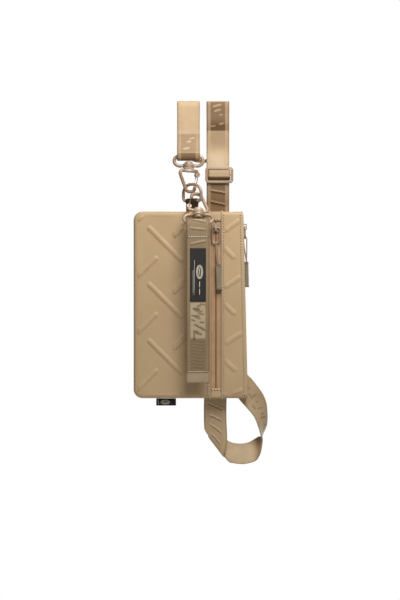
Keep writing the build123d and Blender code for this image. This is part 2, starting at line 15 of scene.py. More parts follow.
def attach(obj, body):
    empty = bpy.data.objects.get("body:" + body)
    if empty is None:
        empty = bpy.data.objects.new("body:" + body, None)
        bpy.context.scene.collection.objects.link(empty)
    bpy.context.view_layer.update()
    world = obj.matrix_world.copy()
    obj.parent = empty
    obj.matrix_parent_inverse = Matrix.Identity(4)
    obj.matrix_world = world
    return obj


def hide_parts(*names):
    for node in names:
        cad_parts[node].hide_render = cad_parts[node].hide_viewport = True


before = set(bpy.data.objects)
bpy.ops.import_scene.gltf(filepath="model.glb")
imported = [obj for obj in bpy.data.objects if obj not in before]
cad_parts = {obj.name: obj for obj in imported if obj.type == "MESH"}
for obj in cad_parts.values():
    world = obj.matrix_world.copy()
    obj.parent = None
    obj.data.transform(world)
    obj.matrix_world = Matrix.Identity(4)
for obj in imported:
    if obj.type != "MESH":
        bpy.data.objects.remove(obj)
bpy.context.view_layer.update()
MM = 0.001
UV_MIDDLE = 12.5  # a strap's middle line in its UV map, whatever its width

# ---------- node materials


def rgb(r, g, b):
    """An sRGB colour from 0 to 255 as a linear one."""
    def channel(c):
        c /= 255
        return c / 12.92 if c <= 0.04045 else ((c + 0.055) / 1.055) ** 2.4
    return (channel(r), channel(g), channel(b), 1.0)


class Nodes:
    """A material and short ways to add its nodes."""

    def __init__(self, name, **sockets):
        self.material = bpy.data.materials.new(name)
        self.material.use_nodes = True
        self.tree = self.material.node_tree
        self.shader = self.tree.nodes["Principled BSDF"]
        self.set(self.shader, sockets)
        self.place = self.add("ShaderNodeTexCoord").outputs["Object"]

    def set(self, node, sockets):
        for key, value in sockets.items():
            socket = node.inputs[key.replace("_", " ")] if isinstance(key, str) else node.inputs[key]
            if isinstance(value, bpy.types.NodeSocket):
                self.tree.links.new(value, socket)
            else:
                socket.default_value = value

    def add(self, kind, settings=(), **sockets):
        node = self.tree.nodes.new(kind)
        for key, value in dict(settings).items():
            setattr(node, key, value)
        self.set(node, sockets)
        return node

    def math(self, operation, *values):
        node = self.add("ShaderNodeMath", {"operation": operation})
        self.set(node, dict(enumerate(values)))
        return node.outputs[0]

    def noise(self, scale, detail=3.0, rough=0.55):
        node = self.add("ShaderNodeTexNoise", Scale=scale, Detail=detail, Roughness=rough, Vector=self.place)
        return node.outputs["Fac"]

    def cells(self, scale):
        node = self.add("ShaderNodeTexVoronoi", {"feature": "DISTANCE_TO_EDGE"}, Scale=scale,
                        Vector=self.place)
        return node.outputs["Distance"]

    def ranged(self, value, low, high, to_low=0.0, to_high=1.0):
        node = self.add("ShaderNodeMapRange", Value=value)
        for slot, number in zip(("From Min", "From Max", "To Min", "To Max"), (low, high, to_low, to_high)):
            node.inputs[slot].default_value = number
        return node.outputs["Result"]

    def mix(self, share, first, second):
        node = self.add("ShaderNodeMix", {"data_type": "RGBA"})
        self.set(node, {0: share, 6: first, 7: second})
        return node.outputs[2]

    def attribute(self, name):
        return self.add("ShaderNodeAttribute", {"attribute_name": name}).outputs["Fac"]

    def uv(self):
        uv_map = self.add("ShaderNodeUVMap", {"uv_map": "UVMap"}).outputs[0]
        node = self.add("ShaderNodeSeparateXYZ", Vector=uv_map)
        return node.outputs[0], node.outputs[1]

    def wave(self, value, period):
        """A smooth ridge, from -1 to 1, every period metres of value."""
        return self.math("SINE", self.math("MULTIPLY", value, 2 * math.pi / period))

    def bump(self, height, depth, strength=1.0, before=None):
        node = self.add("ShaderNodeBump", Strength=strength, Distance=depth, Height=height)
        if before:
            self.set(node, {"Normal": before})
        return node.outputs[0]

    def finish(self, colour, roughness, normal):
        self.set(self.shader, {"Base Color": colour, "Roughness": roughness, "Normal": normal})
        return self.material

    def worn(self, colour, tint, amount):
        """The colour, lighter along worn edges."""
        edge = self.ranged(self.add("ShaderNodeNewGeometry").outputs["Pointiness"], 0.52, 0.62)
        patchy = self.ranged(self.noise(160.0), 0.35, 0.7, 0.2, amount)
        return self.mix(self.math("MULTIPLY", edge, patchy), colour, tint)


def leather(name, base, dark, light):
    """Broad and fine mottling, pores and creases, lighter where it is worn."""
    m = Nodes(name, Specular_IOR_Level=0.42)
    broad = m.ranged(m.noise(14.0, 4.0), 0.3, 0.7)
    fine = m.ranged(m.noise(620.0, 2.0), 0.3, 0.7)
    colour = m.mix(m.math("MULTIPLY", broad, 0.35), base, dark)
    colour = m.mix(m.math("MULTIPLY", fine, 0.10), colour, dark)
    colour = m.worn(colour, light, 0.5)
    pores = m.ranged(m.cells(1500.0), 0.0, 0.18)
    crease = m.noise(240.0, 5.0, 0.6)
    normal = m.bump(crease, 0.00012, 0.5, m.bump(pores, 0.00005, 0.6))
    return m.finish(colour, m.ranged(m.noise(90.0, 4.0), 0.3, 0.7, 0.48, 0.62), normal)


def webbing(name, base, dark, light, twill=0.0018, sheen=0.25, depth=0.26):
    """Woven tape: twill in the middle, ribbed selvedges, and marks from the tone attribute, which on some
    straps also carries painted shade and highlight.
    """
    m = Nodes(name, Specular_IOR_Level=0.38, Sheen_Weight=sheen, Sheen_Roughness=0.4)
    across, along = m.uv()
    diagonal = m.wave(m.math("ADD", across, along), twill)
    yarns = m.wave(m.math("SUBTRACT", across, along), twill * 0.8)
    weave = m.math("MULTIPLY", diagonal, m.ranged(yarns, -1, 1, 0.5, 1.0))
    rib = m.wave(along, 0.0013)
    edge = m.ranged(m.math("ABSOLUTE", m.math("SUBTRACT", across, UV_MIDDLE * MM)), 0.0082, 0.0088)
    height = m.add("ShaderNodeMix", {"data_type": "FLOAT"})
    m.set(height, {0: edge, 2: weave, 3: rib})
    tone = m.attribute("tone")
    colour = m.mix(m.ranged(tone, 0.0, 1.0), base, dark)
    colour = m.mix(m.ranged(tone, 0.0, -1.0), colour, light)
    # shade: painted shade in the weave's low points, as dark as depth says
    shade = m.ranged(height.outputs[0], -1, 1, depth, 0.0)
    colour = m.mix(shade, colour, dark)
    colour = m.mix(m.ranged(m.noise(70.0, 4.0), 0.3, 0.75, 0.0, 0.16), colour, dark)
    fuzz = m.noise(2600.0, 2.0)
    normal = m.bump(height.outputs[0], 0.00012, 0.7, m.bump(fuzz, 0.00006, 0.5))
    return m.finish(colour, m.ranged(m.noise(300.0), 0.3, 0.7, 0.5, 0.68), normal)


def ribbed_tape(name, base, dark):
    """Fine slanting ribs, darkened by the tone attribute, which on the zip tapes is painted shade."""
    m = Nodes(name, Specular_IOR_Level=0.35, Sheen_Weight=0.2, Sheen_Roughness=0.5)
    across, along = m.uv()
    chevron = m.wave(m.math("ADD", m.math("ABSOLUTE", m.math("SUBTRACT", across, 0.004)), along), 0.0009)
    colour = m.mix(m.ranged(chevron, -1, 1, 0.22, 0.0), base, dark)
    colour = m.mix(m.ranged(m.attribute("tone"), 0.0, 1.0), colour, dark)
    colour = m.mix(m.ranged(m.noise(120.0, 4.0), 0.3, 0.7, 0.0, 0.25), colour, dark)
    normal = m.bump(chevron, 0.0001, 0.7, m.bump(m.noise(2400.0), 0.00005, 0.5))
    return m.finish(colour, m.ranged(m.noise(260.0), 0.3, 0.7, 0.55, 0.72), normal)


def yarn(name, base, dark):
    """Thread, cord and coil: fine twisted strands."""
    m = Nodes(name, Specular_IOR_Level=0.4, Sheen_Weight=0.2, Sheen_Roughness=0.4)
    twist = m.add("ShaderNodeTexWave", {"wave_type": "BANDS", "bands_direction": "DIAGONAL"},
                  Scale=620.0, Distortion=2.0, Detail=2.0, Vector=m.place).outputs["Fac"]
    colour = m.mix(m.ranged(twist, 0.0, 1.0, 0.4, 0.0), base, dark)
    colour = m.mix(m.ranged(m.noise(90.0), 0.3, 0.7, 0.0, 0.25), colour, dark)
    normal = m.bump(twist, 0.0001, 0.8, m.bump(m.noise(1900.0), 0.00005, 0.5))
    return m.finish(colour, m.ranged(m.noise(400.0), 0.3, 0.7, 0.45, 0.65), normal)


def metal(name, base, dark, light, metallic, rough, coat=0.0):
    """Lengthwise scratches, with the light colour showing at worn edges."""
    m = Nodes(name, Metallic=metallic, Coat_Weight=coat, Coat_Roughness=0.25, Specular_IOR_Level=0.5)
    colour = m.mix(m.ranged(m.noise(60.0, 4.0), 0.35, 0.7, 0.0, 0.4), base, dark)
    colour = m.worn(colour, light, 0.9)
    scratch = m.add("ShaderNodeTexNoise", Scale=420.0, Detail=4.0, Vector=m.add(
        "ShaderNodeMapping", Vector=m.place, Scale=(1.0, 1.0, 9.0)).outputs[0]).outputs["Fac"]
    normal = m.bump(scratch, 0.00005, 0.25)
    return m.finish(colour, m.ranged(scratch, 0.3, 0.7, rough - 0.06, rough + 0.1), normal)


TAN = leather("tan_leather", rgb(194, 165, 126), rgb(166, 136, 98), rgb(216, 192, 158))
BROWN = leather("brown_leather", rgb(74, 50, 30), rgb(42, 27, 15), rgb(130, 98, 74))
LINING = ribbed_tape("lining_cloth", rgb(120, 102, 80), rgb(84, 70, 54))
STRAP = webbing("strap_webbing", rgb(205, 177, 138), rgb(88, 55, 10), rgb(246, 228, 196))
KEY_WEBBING = webbing("key_webbing", rgb(164, 138, 103), rgb(56, 41, 23), rgb(216, 194, 158), depth=0.42)
TAPE = ribbed_tape("zip_tape_cloth", rgb(208, 164, 122), rgb(104, 72, 46))
COIL = yarn("zip_coil_nylon", rgb(150, 120, 90), rgb(96, 74, 54))
CORD = yarn("pull_cord_yarn", rgb(182, 160, 130), rgb(104, 86, 62))
SLEEVE = webbing("sleeve_cloth", rgb(150, 136, 106), rgb(84, 74, 54), rgb(176, 164, 136), twill=0.0009)
THREAD = yarn("tan_thread", rgb(236, 220, 194), rgb(190, 166, 132))
# A dark colour for the painted shade in each stitch's needle holes
HOLE_SHADE = leather("needle_hole_shade", rgb(70, 52, 34), rgb(46, 33, 20), rgb(96, 74, 52))
WHITE_THREAD = yarn("white_thread", rgb(240, 232, 214), rgb(196, 184, 160))
LABEL = webbing("label_satin", rgb(34, 31, 27), rgb(16, 14, 12), rgb(60, 56, 50), twill=0.0006, sheen=0.1)
COATED = metal("coated_metal", rgb(172, 144, 116), rgb(126, 100, 76), rgb(214, 192, 166), 0.18, 0.38, 0.3)
BARE = metal("bare_wire", rgb(214, 206, 194), rgb(150, 140, 126), rgb(250, 246, 240), 1.0, 0.24)

# ---------- mesh helpers


def make(name, points, faces, material, uv=None, tone=None):
    """A smooth mesh object from points in millimetres, in a list or a grid."""
    mesh = bpy.data.meshes.new(name)
    points = np.asarray(points, float).reshape(-1, 3) * MM
    mesh.from_pydata(points.tolist(), [], [tuple(int(i) for i in f) for f in faces])
    if uv is not None:
        corner = np.zeros(len(mesh.loops), np.int32)
        mesh.loops.foreach_get("vertex_index", corner)
        layer = mesh.uv_layers.new(name="UVMap")
        uv = np.asarray(uv, float).reshape(-1, 2) * MM
        layer.data.foreach_set("uv", uv[corner].astype(np.float32).ravel())
    if tone is not None:
        tone = np.asarray(tone, np.float32).ravel()
        mesh.attributes.new("tone", "FLOAT", "POINT").data.foreach_set("value", tone)
    mesh.polygons.foreach_set("use_smooth", [True] * len(mesh.polygons))
    mesh.materials.append(material)
    mesh.update()
    obj = bpy.data.objects.new(name, mesh)
    bpy.context.scene.collection.objects.link(obj)
    return obj


def belong(obj, body, slot, *nodes):
    """Gives a piece its body and hides the CAD nodes that it stands for, if any; slot is not used."""
    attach(obj, body)
    if nodes:
        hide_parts(*nodes)
    return obj


def grid_faces(rows, columns, ring=False):
    """Quads over a grid of points; a ring's last column joins its first."""
    wide = columns if ring else columns - 1
    i, j = np.meshgrid(np.arange(rows - 1), np.arange(wide), indexing="ij")
    k = (j + 1) % columns
    a, b = i * columns + j, i * columns + k
    return np.stack([a, b, b + columns, a + columns], -1).reshape(-1, 4)


def tube_faces(rings, sides):
    """Faces of a tube that is closed at both ends."""
    ends = [list(range(sides))[::-1], list(range((rings - 1) * sides, rings * sides))]
    return grid_faces(rings, sides, ring=True).tolist() + ends


def thicken(obj, thickness):
    solid = obj.modifiers.new("thickness", "SOLIDIFY")
    solid.thickness = thickness * MM
    solid.offset = -1.0


def joined(parts):
    """Several (points, faces) pairs as one."""
    points, faces, start = [], [], 0
    for p, f in parts:
        points.append(np.asarray(p, float))
        faces += [tuple(int(i) + start for i in face) for face in f]
        start += len(p)
    return np.concatenate(points), faces


def unit(v):
    return v / np.maximum(np.linalg.norm(v, axis=-1, keepdims=True), 1e-9)


def spline(route, resolution=64):
    """Points along the smooth line that a cord or strap follows, from its route's points."""
    curve = bpy.data.curves.new("route", "CURVE")
    curve.dimensions = "3D"
    curve.resolution_u = resolution
    line = curve.splines.new("NURBS")
    line.points.add(len(route) - 1)
    for point, at in zip(line.points, route):
        point.co = (*(c * MM for c in at), 1.0)
    line.order_u = 3
    line.use_endpoint_u = True
    holder = bpy.data.objects.new("route", curve)
    bpy.context.scene.collection.objects.link(holder)
    bpy.context.view_layer.update()
    mesh = bpy.data.meshes.new_from_object(holder)
    points = np.array([v.co for v in mesh.vertices]) / MM
    bpy.data.objects.remove(holder)
    return points


def distances(points):
    """How far along its line each point is."""
    return np.concatenate([[0], np.cumsum(np.linalg.norm(np.diff(points, axis=0), axis=1))])


def length_of(points):
    return float(np.linalg.norm(np.diff(points, axis=0), axis=1).sum())


def even(points, step, *values):
    """The line at even steps, with values given along it."""
    run = distances(points)
    at = np.linspace(0, run[-1], max(2, int(round(run[-1] / step)) + 1))
    spread = [np.stack([np.interp(at, run, column) for column in v.T], -1) for v in (points, *values)]
    return (at, *spread)


def carried(vectors, count):
    """Directions given at a route's points, spread over the spline's count points."""
    spans = len(vectors) - 2
    at = [0] + [(k - 0.5) / spans for k in range(1, len(vectors) - 1)] + [1]
    share = np.linspace(0, 1, count)
    vectors = unit(np.asarray(vectors, float))
    return unit(np.stack([np.interp(share, at, vectors[:, k]) for k in range(3)], -1))


def tube_mesh(points, radius, sides):
    """A closed tube along a line; radius is one number, or one for each point."""
    points = np.asarray(points, float)
    ahead = unit(np.gradient(points, axis=0))
    normal = unit(np.cross(ahead[0], [0.31, 0.52, 0.79]))
    angles = np.linspace(0, 2 * np.pi, sides, endpoint=False)
    rings = []
    for p, t, r in zip(points, ahead, np.broadcast_to(radius, len(points))):
        normal = unit(normal - t * (normal @ t))
        side = np.cross(t, normal)
        rings.append(p + r * (np.outer(np.cos(angles), normal) + np.outer(np.sin(angles), side)))
    return np.concatenate(rings), tube_faces(len(points), sides)


SELVEDGE_PITCH = 2.4
LEAST_UPRIGHT = 0.86


def ribbon(name, points, across, width, thick, material, tone=None, back_tone=None, relief=None,
           columns=26, step=0.6, scallop=0.22):
    """A woven strap along a line. across is the direction of its width, or one for each point."""
    run, line, wide = even(points, step, np.broadcast_to(across, np.shape(points)))
    ahead = unit(np.gradient(line, axis=0))
    wide = unit(wide)
    face = unit(np.cross(wide, ahead))
    upright = np.linalg.norm(wide - ahead * np.sum(wide * ahead, -1, keepdims=True), axis=-1, keepdims=True)
    wide = wide / np.maximum(upright, LEAST_UPRIGHT)  # a width that leans is longer, as across a fold
    u = np.linspace(-width / 2, width / 2, columns)
    U, V = np.meshgrid(u, run)
    edge = np.abs(U) / (width / 2)
    half = thick / 2 * np.where(edge > 0.999, 0.45, np.where(edge > 0.9, 0.92, 1.0))
    teeth = np.sin(2 * np.pi * V / SELVEDGE_PITCH)
    U_out = U * (1 + scallop / (width / 2) * teeth * (edge > 0.95))
    lift = relief(U, V) if relief else 0.0 * U
    middle = line[:, None] + U_out[..., None] * wide[:, None]
    front = middle + (half + lift)[..., None] * face[:, None]
    back = middle - half[..., None] * face[:, None]
    ring = np.concatenate([front, back[:, ::-1]], 1)
    uv = np.stack([np.concatenate([U, U[:, ::-1]], 1) + UV_MIDDLE, np.concatenate([V, V], 1)], -1)
    top = (tone(U, V) if tone else 0.0 * U) + (0.24 - 0.42 * teeth) * (edge > 0.9) * (scallop > 0)
    under = back_tone(U, V) if back_tone else 0.0 * U
    tones = np.concatenate([top, under[:, ::-1]], 1)
    count = ring.shape[1]
    faces = grid_faces(len(run), count, ring=True)[:, ::-1].tolist()
    for r, flip in ((0, 1), (len(run) - 1, -1)):
        base = r * count
        for c in range(columns - 1):
            quad = [base + c, base + c + 1, base + count - 2 - c, base + count - 1 - c]
            faces.append(quad[::flip])
    return make(name, ring, faces, material, uv, tones)


STITCH_R = 0.62
HOLE_SHADE_SPAN, HOLE_SHADE_RADII = (-0.65, -0.4, 0.4, 0.65), (0.2, 0.6, 0.6, 0.2)


def stitches(name, points, out, material, pitch=3.2, length=1.9, body="pouch", slot="leather"):
    """A row of thread stitches along a line, each a small rounded lozenge, with small dark lozenges between
    them as painted shade of the needle holes.
    """
    _, line = even(np.asarray(points, float), pitch)
    ahead = unit(np.gradient(line, axis=0))
    out = unit(np.asarray(out, float))
    parts = []
    bow = np.linspace(-1, 1, 7)
    for p, t in zip(line[:-1], ahead[:-1]):
        centre = p + t * pitch / 2
        path = [centre + t * b * length / 2 + out * (0.22 - 0.42 * b * b) for b in bow]
        parts.append(tube_mesh(path, [STITCH_R * math.sqrt(max(0.12, 1 - 0.8 * b ** 4)) for b in bow], 6))
    # Dark lozenges at each needle hole: painted shade where the thread goes into the leather
    hole_shades = [tube_mesh([p + t * s - out * 0.02 * abs(s) for s in HOLE_SHADE_SPAN], HOLE_SHADE_RADII, 6)
             for p, t in zip(line, ahead)]
    belong(make(name + "_hole_shade", *joined(hole_shades), HOLE_SHADE), body, slot)
    belong(make(name, *joined(parts), material), body, slot)


def smoothstep(x):
    """From 0 to 1, flat outside that."""
    x = np.clip(x, 0, 1)
    return x * x * (3 - 2 * x)


def bar_distance(x, z, start, end):
    """Distance in the pouch's plane from a straight bar's middle line."""
    (ax, az), (bx, bz) = start, end
    dx, dz = bx - ax, bz - az
    share = np.clip(((x - ax) * dx + (z - az) * dz) / (dx * dx + dz * dz), 0, 1)
    return np.hypot(x - ax - share * dx, z - az - share * dz)


STROKE_HALF_W = 7.6  # strokes lie this far to either side of a strap's middle line


def strokes(U, V, v0, v1, seed, count):
    """A handful of plain woven strokes of uneven length scattered over one patch, from 0 to 1."""
    rng = random.Random(seed)
    mark = 0.0 * U
    for k in range(count):
        u = rng.uniform(-STROKE_HALF_W, STROKE_HALF_W) * 0.8
        v = v0 + (v1 - v0) * (k + rng.uniform(0.2, 0.8)) / count
        long = rng.uniform(0.8, 4.2)
        angle = rng.choice((0.05, 0.2, 0.3, 1.5)) + rng.uniform(-0.08, 0.08)
        du, dv = math.cos(angle) * long, math.sin(angle) * long
        away = bar_distance(U, V, (u - du, v - dv), (u + du, v + dv))
        mark = np.maximum(mark, smoothstep((rng.uniform(0.7, 1.2) - away) / 0.5 + 0.5))
    return mark * (np.abs(U) < STROKE_HALF_W + 0.8)


def between(values, low, high, soft):
    """1 between low and high and 0 outside, with soft ends."""
    return smoothstep((values - low) / soft + 0.5) * smoothstep((high - values) / soft + 0.5)


# ---------- camera and light

FRONT_Y = -16.0  # the pouch's front face
AIM = Vector((-2.75, 0.0, -214.6)) * MM
VIEW_HEIGHT = 0.660
CAMERA_AWAY = 3.0
SENSOR = 24.0
camera = bpy.data.cameras.new("camera")
camera.sensor_fit = "VERTICAL"
camera.sensor_height = SENSOR
camera.lens = SENSOR * CAMERA_AWAY / VIEW_HEIGHT
camera_object = bpy.data.objects.new("camera", camera)
camera_object.location = (AIM.x, FRONT_Y * MM - CAMERA_AWAY, AIM.z)
camera_object.rotation_euler = (math.radians(90), 0, 0)
bpy.context.scene.collection.objects.link(camera_object)
bpy.context.scene.camera = camera_object
bpy.context.scene.view_settings.view_transform = "Standard"


def area_light(name, at, size, power):
    light = bpy.data.lights.new(name, "AREA")
    light.size = size
    light.energy = power
    obj = bpy.data.objects.new(name, light)
    obj.location = at
    obj.rotation_euler = (AIM - Vector(at)).to_track_quat("-Z", "Y").to_euler()
    bpy.context.scene.collection.objects.link(obj)


area_light("key_light", (0.13, -0.42, 0.31), 0.40, 5.4)
area_light("fill_light", (-1.4, -1.8, 0.4), 1.6, 2.2)
area_light("back_light", (0.4, 1.7, 0.2), 1.4, 26.0)
world = bpy.data.worlds.new("studio")
world.use_nodes = True
backdrop = world.node_tree.nodes["Background"]
backdrop.inputs["Color"].default_value = (1, 1, 1, 1)
seen = world.node_tree.nodes.new("ShaderNodeLightPath")
brightness = world.node_tree.nodes.new("ShaderNodeMapRange")  # white behind the object, softer on it
world.node_tree.links.new(seen.outputs["Is Camera Ray"], brightness.inputs["Value"])
brightness.inputs["To Min"].default_value = 0.12
brightness.inputs["To Max"].default_value = 1.0
world.node_tree.links.new(brightness.outputs["Result"], backdrop.inputs["Strength"])
bpy.context.scene.world = world

FLOOR_Z = -640.0
floor_x, floor_y = np.meshgrid(np.linspace(-900, 900, 13), np.linspace(-1100, 320, 13))
floor_points = np.stack([floor_x, floor_y, np.full_like(floor_x, FLOOR_Z)], -1)
floor_paint = Nodes("pale_floor", Specular_IOR_Level=0.2)
pale = floor_paint.mix(floor_paint.noise(6.0), rgb(246, 246, 246), rgb(252, 252, 252))
floor_paint.finish(pale, 0.8, floor_paint.bump(floor_paint.noise(300.0), 0.0001, 0.2))
floor = make("floor", floor_points, grid_faces(13, 13), floor_paint.material)

# ---------- straps that hang free

WEBBING_W, WEBBING_T = 25.0, 1.4
MIDDLE_HALF = 8.4  # half the width of a strap's patterned middle
LEFT_X, RIGHT_X = -15.5, 17.0  # the middle lines of the two hanging legs
MAIN_R, RETURN_R = 4.7, 3.2  # how far from the bend's axis the outer and the inner strap turn over the top
BEHIND_Y = -1.25  # just behind the pouch's back
X_RIGHT, X_LEFT, BACKWARD, FORWARD = (1, 0, 0), (-1, 0, 0), (0, 1, 0), (0, -1, 0)


def leg(x, across, *places):
    """Route points (y, z) above one another, with one direction of the width."""
    return [((x, y, z), across) for y, z in places]


MAIN_ROUTE = [  # each point of the strap's route, and the direction of its width there
    ((43, BEHIND_Y, -307.5), (-0.8, 0, -0.6)),
    ((51.5, BEHIND_Y, -318), (-0.87, -0.1, -0.47)),
    ((59, 3.0, -328.5), (-0.82, -0.47, -0.32)),
    ((64.5, 6.5, -339.5), (-0.62, -0.76, -0.2)),
    ((66.8, 8.0, -353), (-0.42, -0.9, 0)),
    ((66.2, 8.0, -368), (0.02, -0.98, -0.15)),
    ((63.0, 7.5, -376.5), (0.05, -0.76, -0.64)),
    ((56.5, 6.5, -382.5), (0.08, -0.53, -0.84)),
    ((45, 5.5, -385.4), (0.0, -0.47, -0.88)),
    ((33, 4.8, -384.2), (0.0, -0.52, -0.85)),
    ((24, 4.0, -380.0), (0.3, -0.4, -0.86)),
    ((15.7, 3.0, -377.0), (0.604, 0, -0.797)),
    ((14.9, BEHIND_Y, -376.8), (0.604, 0, -0.797)),
    ((14.7, BEHIND_Y, -362), (0.9, 0, -0.43)),
    ((13.8, BEHIND_Y, -343), X_RIGHT),
    ((14.2, BEHIND_Y, -323), X_RIGHT),
    *leg(RIGHT_X, X_RIGHT, (BEHIND_Y, -126), (BEHIND_Y, -112), (-MAIN_R, -98), (-MAIN_R, -8),
         (-MAIN_R, 4.7), (MAIN_R, 4.7), (MAIN_R, -6)),
    ((17.5, 14, -26), (0.7, -0.7, 0)),
    ((17.75, 17.5, -42), FORWARD),
    ((17.75, 17.5, -61), FORWARD),
    ((-16.25, 17.5, -61), FORWARD),
    ((-16.25, 17.5, -42), FORWARD),
    ((-16, 14, -26), (-0.7, -0.7, 0)),
    *leg(LEFT_X, X_LEFT, (MAIN_R, -6), (MAIN_R, 4.7), (-MAIN_R, 4.7), (-MAIN_R, -8), (-MAIN_R, -37.4),
         (-11.07, -50), (-11.07, -60.34), (-6.17, -60.34)),
]
RETURN_ROUTE = [
    *leg(LEFT_X, X_RIGHT, (-6.17, -60.34), (-1.27, -60.34), (-1.27, -52.4), (-RETURN_R, -39.4),
         (-RETURN_R, -6), (-RETURN_R, 3.2), (RETURN_R, 3.2), (RETURN_R, -6)),
    ((-15.2, 12.6, -26), (0.7, 0.7, 0)),
    ((-14.75, 17.5, -42), BACKWARD),
    ((-14.75, 17.5, -59.4), BACKWARD),
    ((16.25, 17.5, -59.4), BACKWARD),
    ((16.25, 17.5, -42), BACKWARD),
    ((16.7, 12.6, -26), (-0.7, 0.7, 0)),
    *leg(RIGHT_X, X_LEFT, (RETURN_R, -6), (RETURN_R, 3.2), (-RETURN_R, 3.2), (-RETURN_R, -6),
         (-RETURN_R, -72.7)),
]


main_line = spline([p for p, _ in MAIN_ROUTE])
return_line = spline([p for p, _ in RETURN_ROUTE])
main_run = distances(main_line)


def free_strap(name, route, line, nodes, tone=None, back_tone=None, relief=None):
    across = carried([a for _, a in route], len(line))
    strap = ribbon(name, line, across, WEBBING_W, WEBBING_T, STRAP, tone, back_tone, relief)
    return belong(strap, "pouch", "webbing", *nodes)


def run_at(*place):
    """How far along the main strap it passes nearest to a place."""
    return main_run[np.argmin(np.linalg.norm(main_line - np.array(place), axis=1))]


def leg_run(x, y, *levels):
    return [run_at(x, y, z) for z in levels]


front_right = partial(leg_run, RIGHT_X, -MAIN_R)
front_left = partial(leg_run, LEFT_X, -MAIN_R)
lower_left = partial(leg_run, 14.2, BEHIND_Y)
LOOP_TURN = run_at(66.2, 8.0, -366)  # where the lower loop turns up, at its right
LOOP_BARS = zip(lower_left(-331.0, -343.5, -355.5, -367.0), (8.0, 6.4, 6.0, 5.2))
STROKE_PITCH = 5.5
ZONES = [  # zones of darker or lighter tone by distance along the main strap: (start, end, tone, tone of its strokes, softness)
    (*front_right(-27.6, 5.4), 0.8, -0.5, 1.5),
    (*front_right(-46.0, -22.0), 0.42, 0.0, 20.0),
    (*front_right(-74.0, -54.0), -0.3, 0.0, 16.0),
    (*front_left(-31.5, -52.9), 0.42, -0.6, 1.5),
    (*front_left(-53.5, -61.0), 0.8, 0.0, 1.5),
    (*leg_run(RIGHT_X, -3.0, -117.0, -84.0), 0.78, 0.0, 1.5),
    (*lower_left(-378.0, -318.0), 0.1, 0.0, 1.5),
    (0.0, LOOP_TURN, 0.0, 0.4, 1.5),
]
BARS = [  # slanting raised bars woven across the strap: (distance along, half length, slope)
    (front_right(-94.8)[0], 8.2, 0.16),
    (front_right(-107.5)[0], 8.2, 0.22),
    *[(at, half, 0.42) for at, half in LOOP_BARS],
]


def main_tone(U, V):
    middle = np.abs(U) < MIDDLE_HALF
    tone = 0.0 * U
    for start, end, level, stroke_tone, soft in ZONES:
        low, high = sorted((start, end))
        tone += between(V, low, high, soft) * level * np.where(middle, 1.0, 0.55)
        if stroke_tone:
            count = int((high - low) / STROKE_PITCH)
            tone += middle * strokes(U, V, low, high, f"{level}", count) * stroke_tone
    # Each raised bar gets a painted shadow just below it and a painted highlight along its top
    for at, half, slope in BARS:
        offset = V - at + slope * U
        inside = np.abs(U) < half
        ripple = offset + 0.35 * np.sin(U * 1.3)
        tone += inside * (0.5 * between(ripple, -2.6, -1.0, 0.6) - 0.6 * between(ripple, -0.4, 0.7, 0.5))
    return tone


def main_back_tone_and_shade(U, V):
    """Painted shade on the satin side where it turns up at the loop's right."""
    dark = 0.45 * between(V, 0.0, LOOP_TURN + 14.0, 14.0)
    return dark - 0.12 + 0.04 * np.sin(V / 2.7) * np.sin(U / 3.0)


def main_relief(U, V):
    height = 0.0 * U
    for at, half, slope in BARS:
        height += 0.45 * (np.abs(U) < half) * between(V - at + slope * U, -0.8, 1.1, 0.9)
    return height


main_strap = free_strap("main_strap", MAIN_ROUTE, main_line, ("neck_strap", "lower_strap"),
                        main_tone, main_back_tone_and_shade, main_relief)
return_strap = free_strap("inner_strap", RETURN_ROUTE, return_line, ("return_strap",))

# ---------- zipper pulls

LEFT, RIGHT, TOP, BOTTOM = -76.0, 45.0, -117.0, -323.0  # the pouch's outline; RIGHT is at its top
EDGE_LEAN = 5.0  # how much further right the right edge is at the bottom
PULL_WRAP = 1.7
PULL_OUT = 2.9
SLEEVE_OUT = PULL_OUT + 0.9


def pull_route(at, right, up, out, loop_h, cord_l, drift):
    """The doubled cord of a zipper pull, from the sleeve round the wire loop and back."""
    turn, below, end = -loop_h + PULL_WRAP, -loop_h - 7.0, -loop_h - cord_l
    near, far = PULL_OUT + PULL_WRAP, PULL_OUT - PULL_WRAP
    local = [
        (drift - 0.9, end, SLEEVE_OUT),
        (0.4 * drift - 0.8, below, near),
        (0.4 * drift - 0.8, turn, near),
        (0.4 * drift + 0.8, turn, far),
        (0.4 * drift + 0.8, below, far),
        (drift + 0.9, end, SLEEVE_OUT),
    ]
    return [tuple(at + right * a + up * b + out * c) for a, b, c in local]


SLEEVE_SIDES = 40
BOUND_END = np.array([0.0, 0.15, 0.9, 2.2, 2.5])  # levels of the rings round the bound end


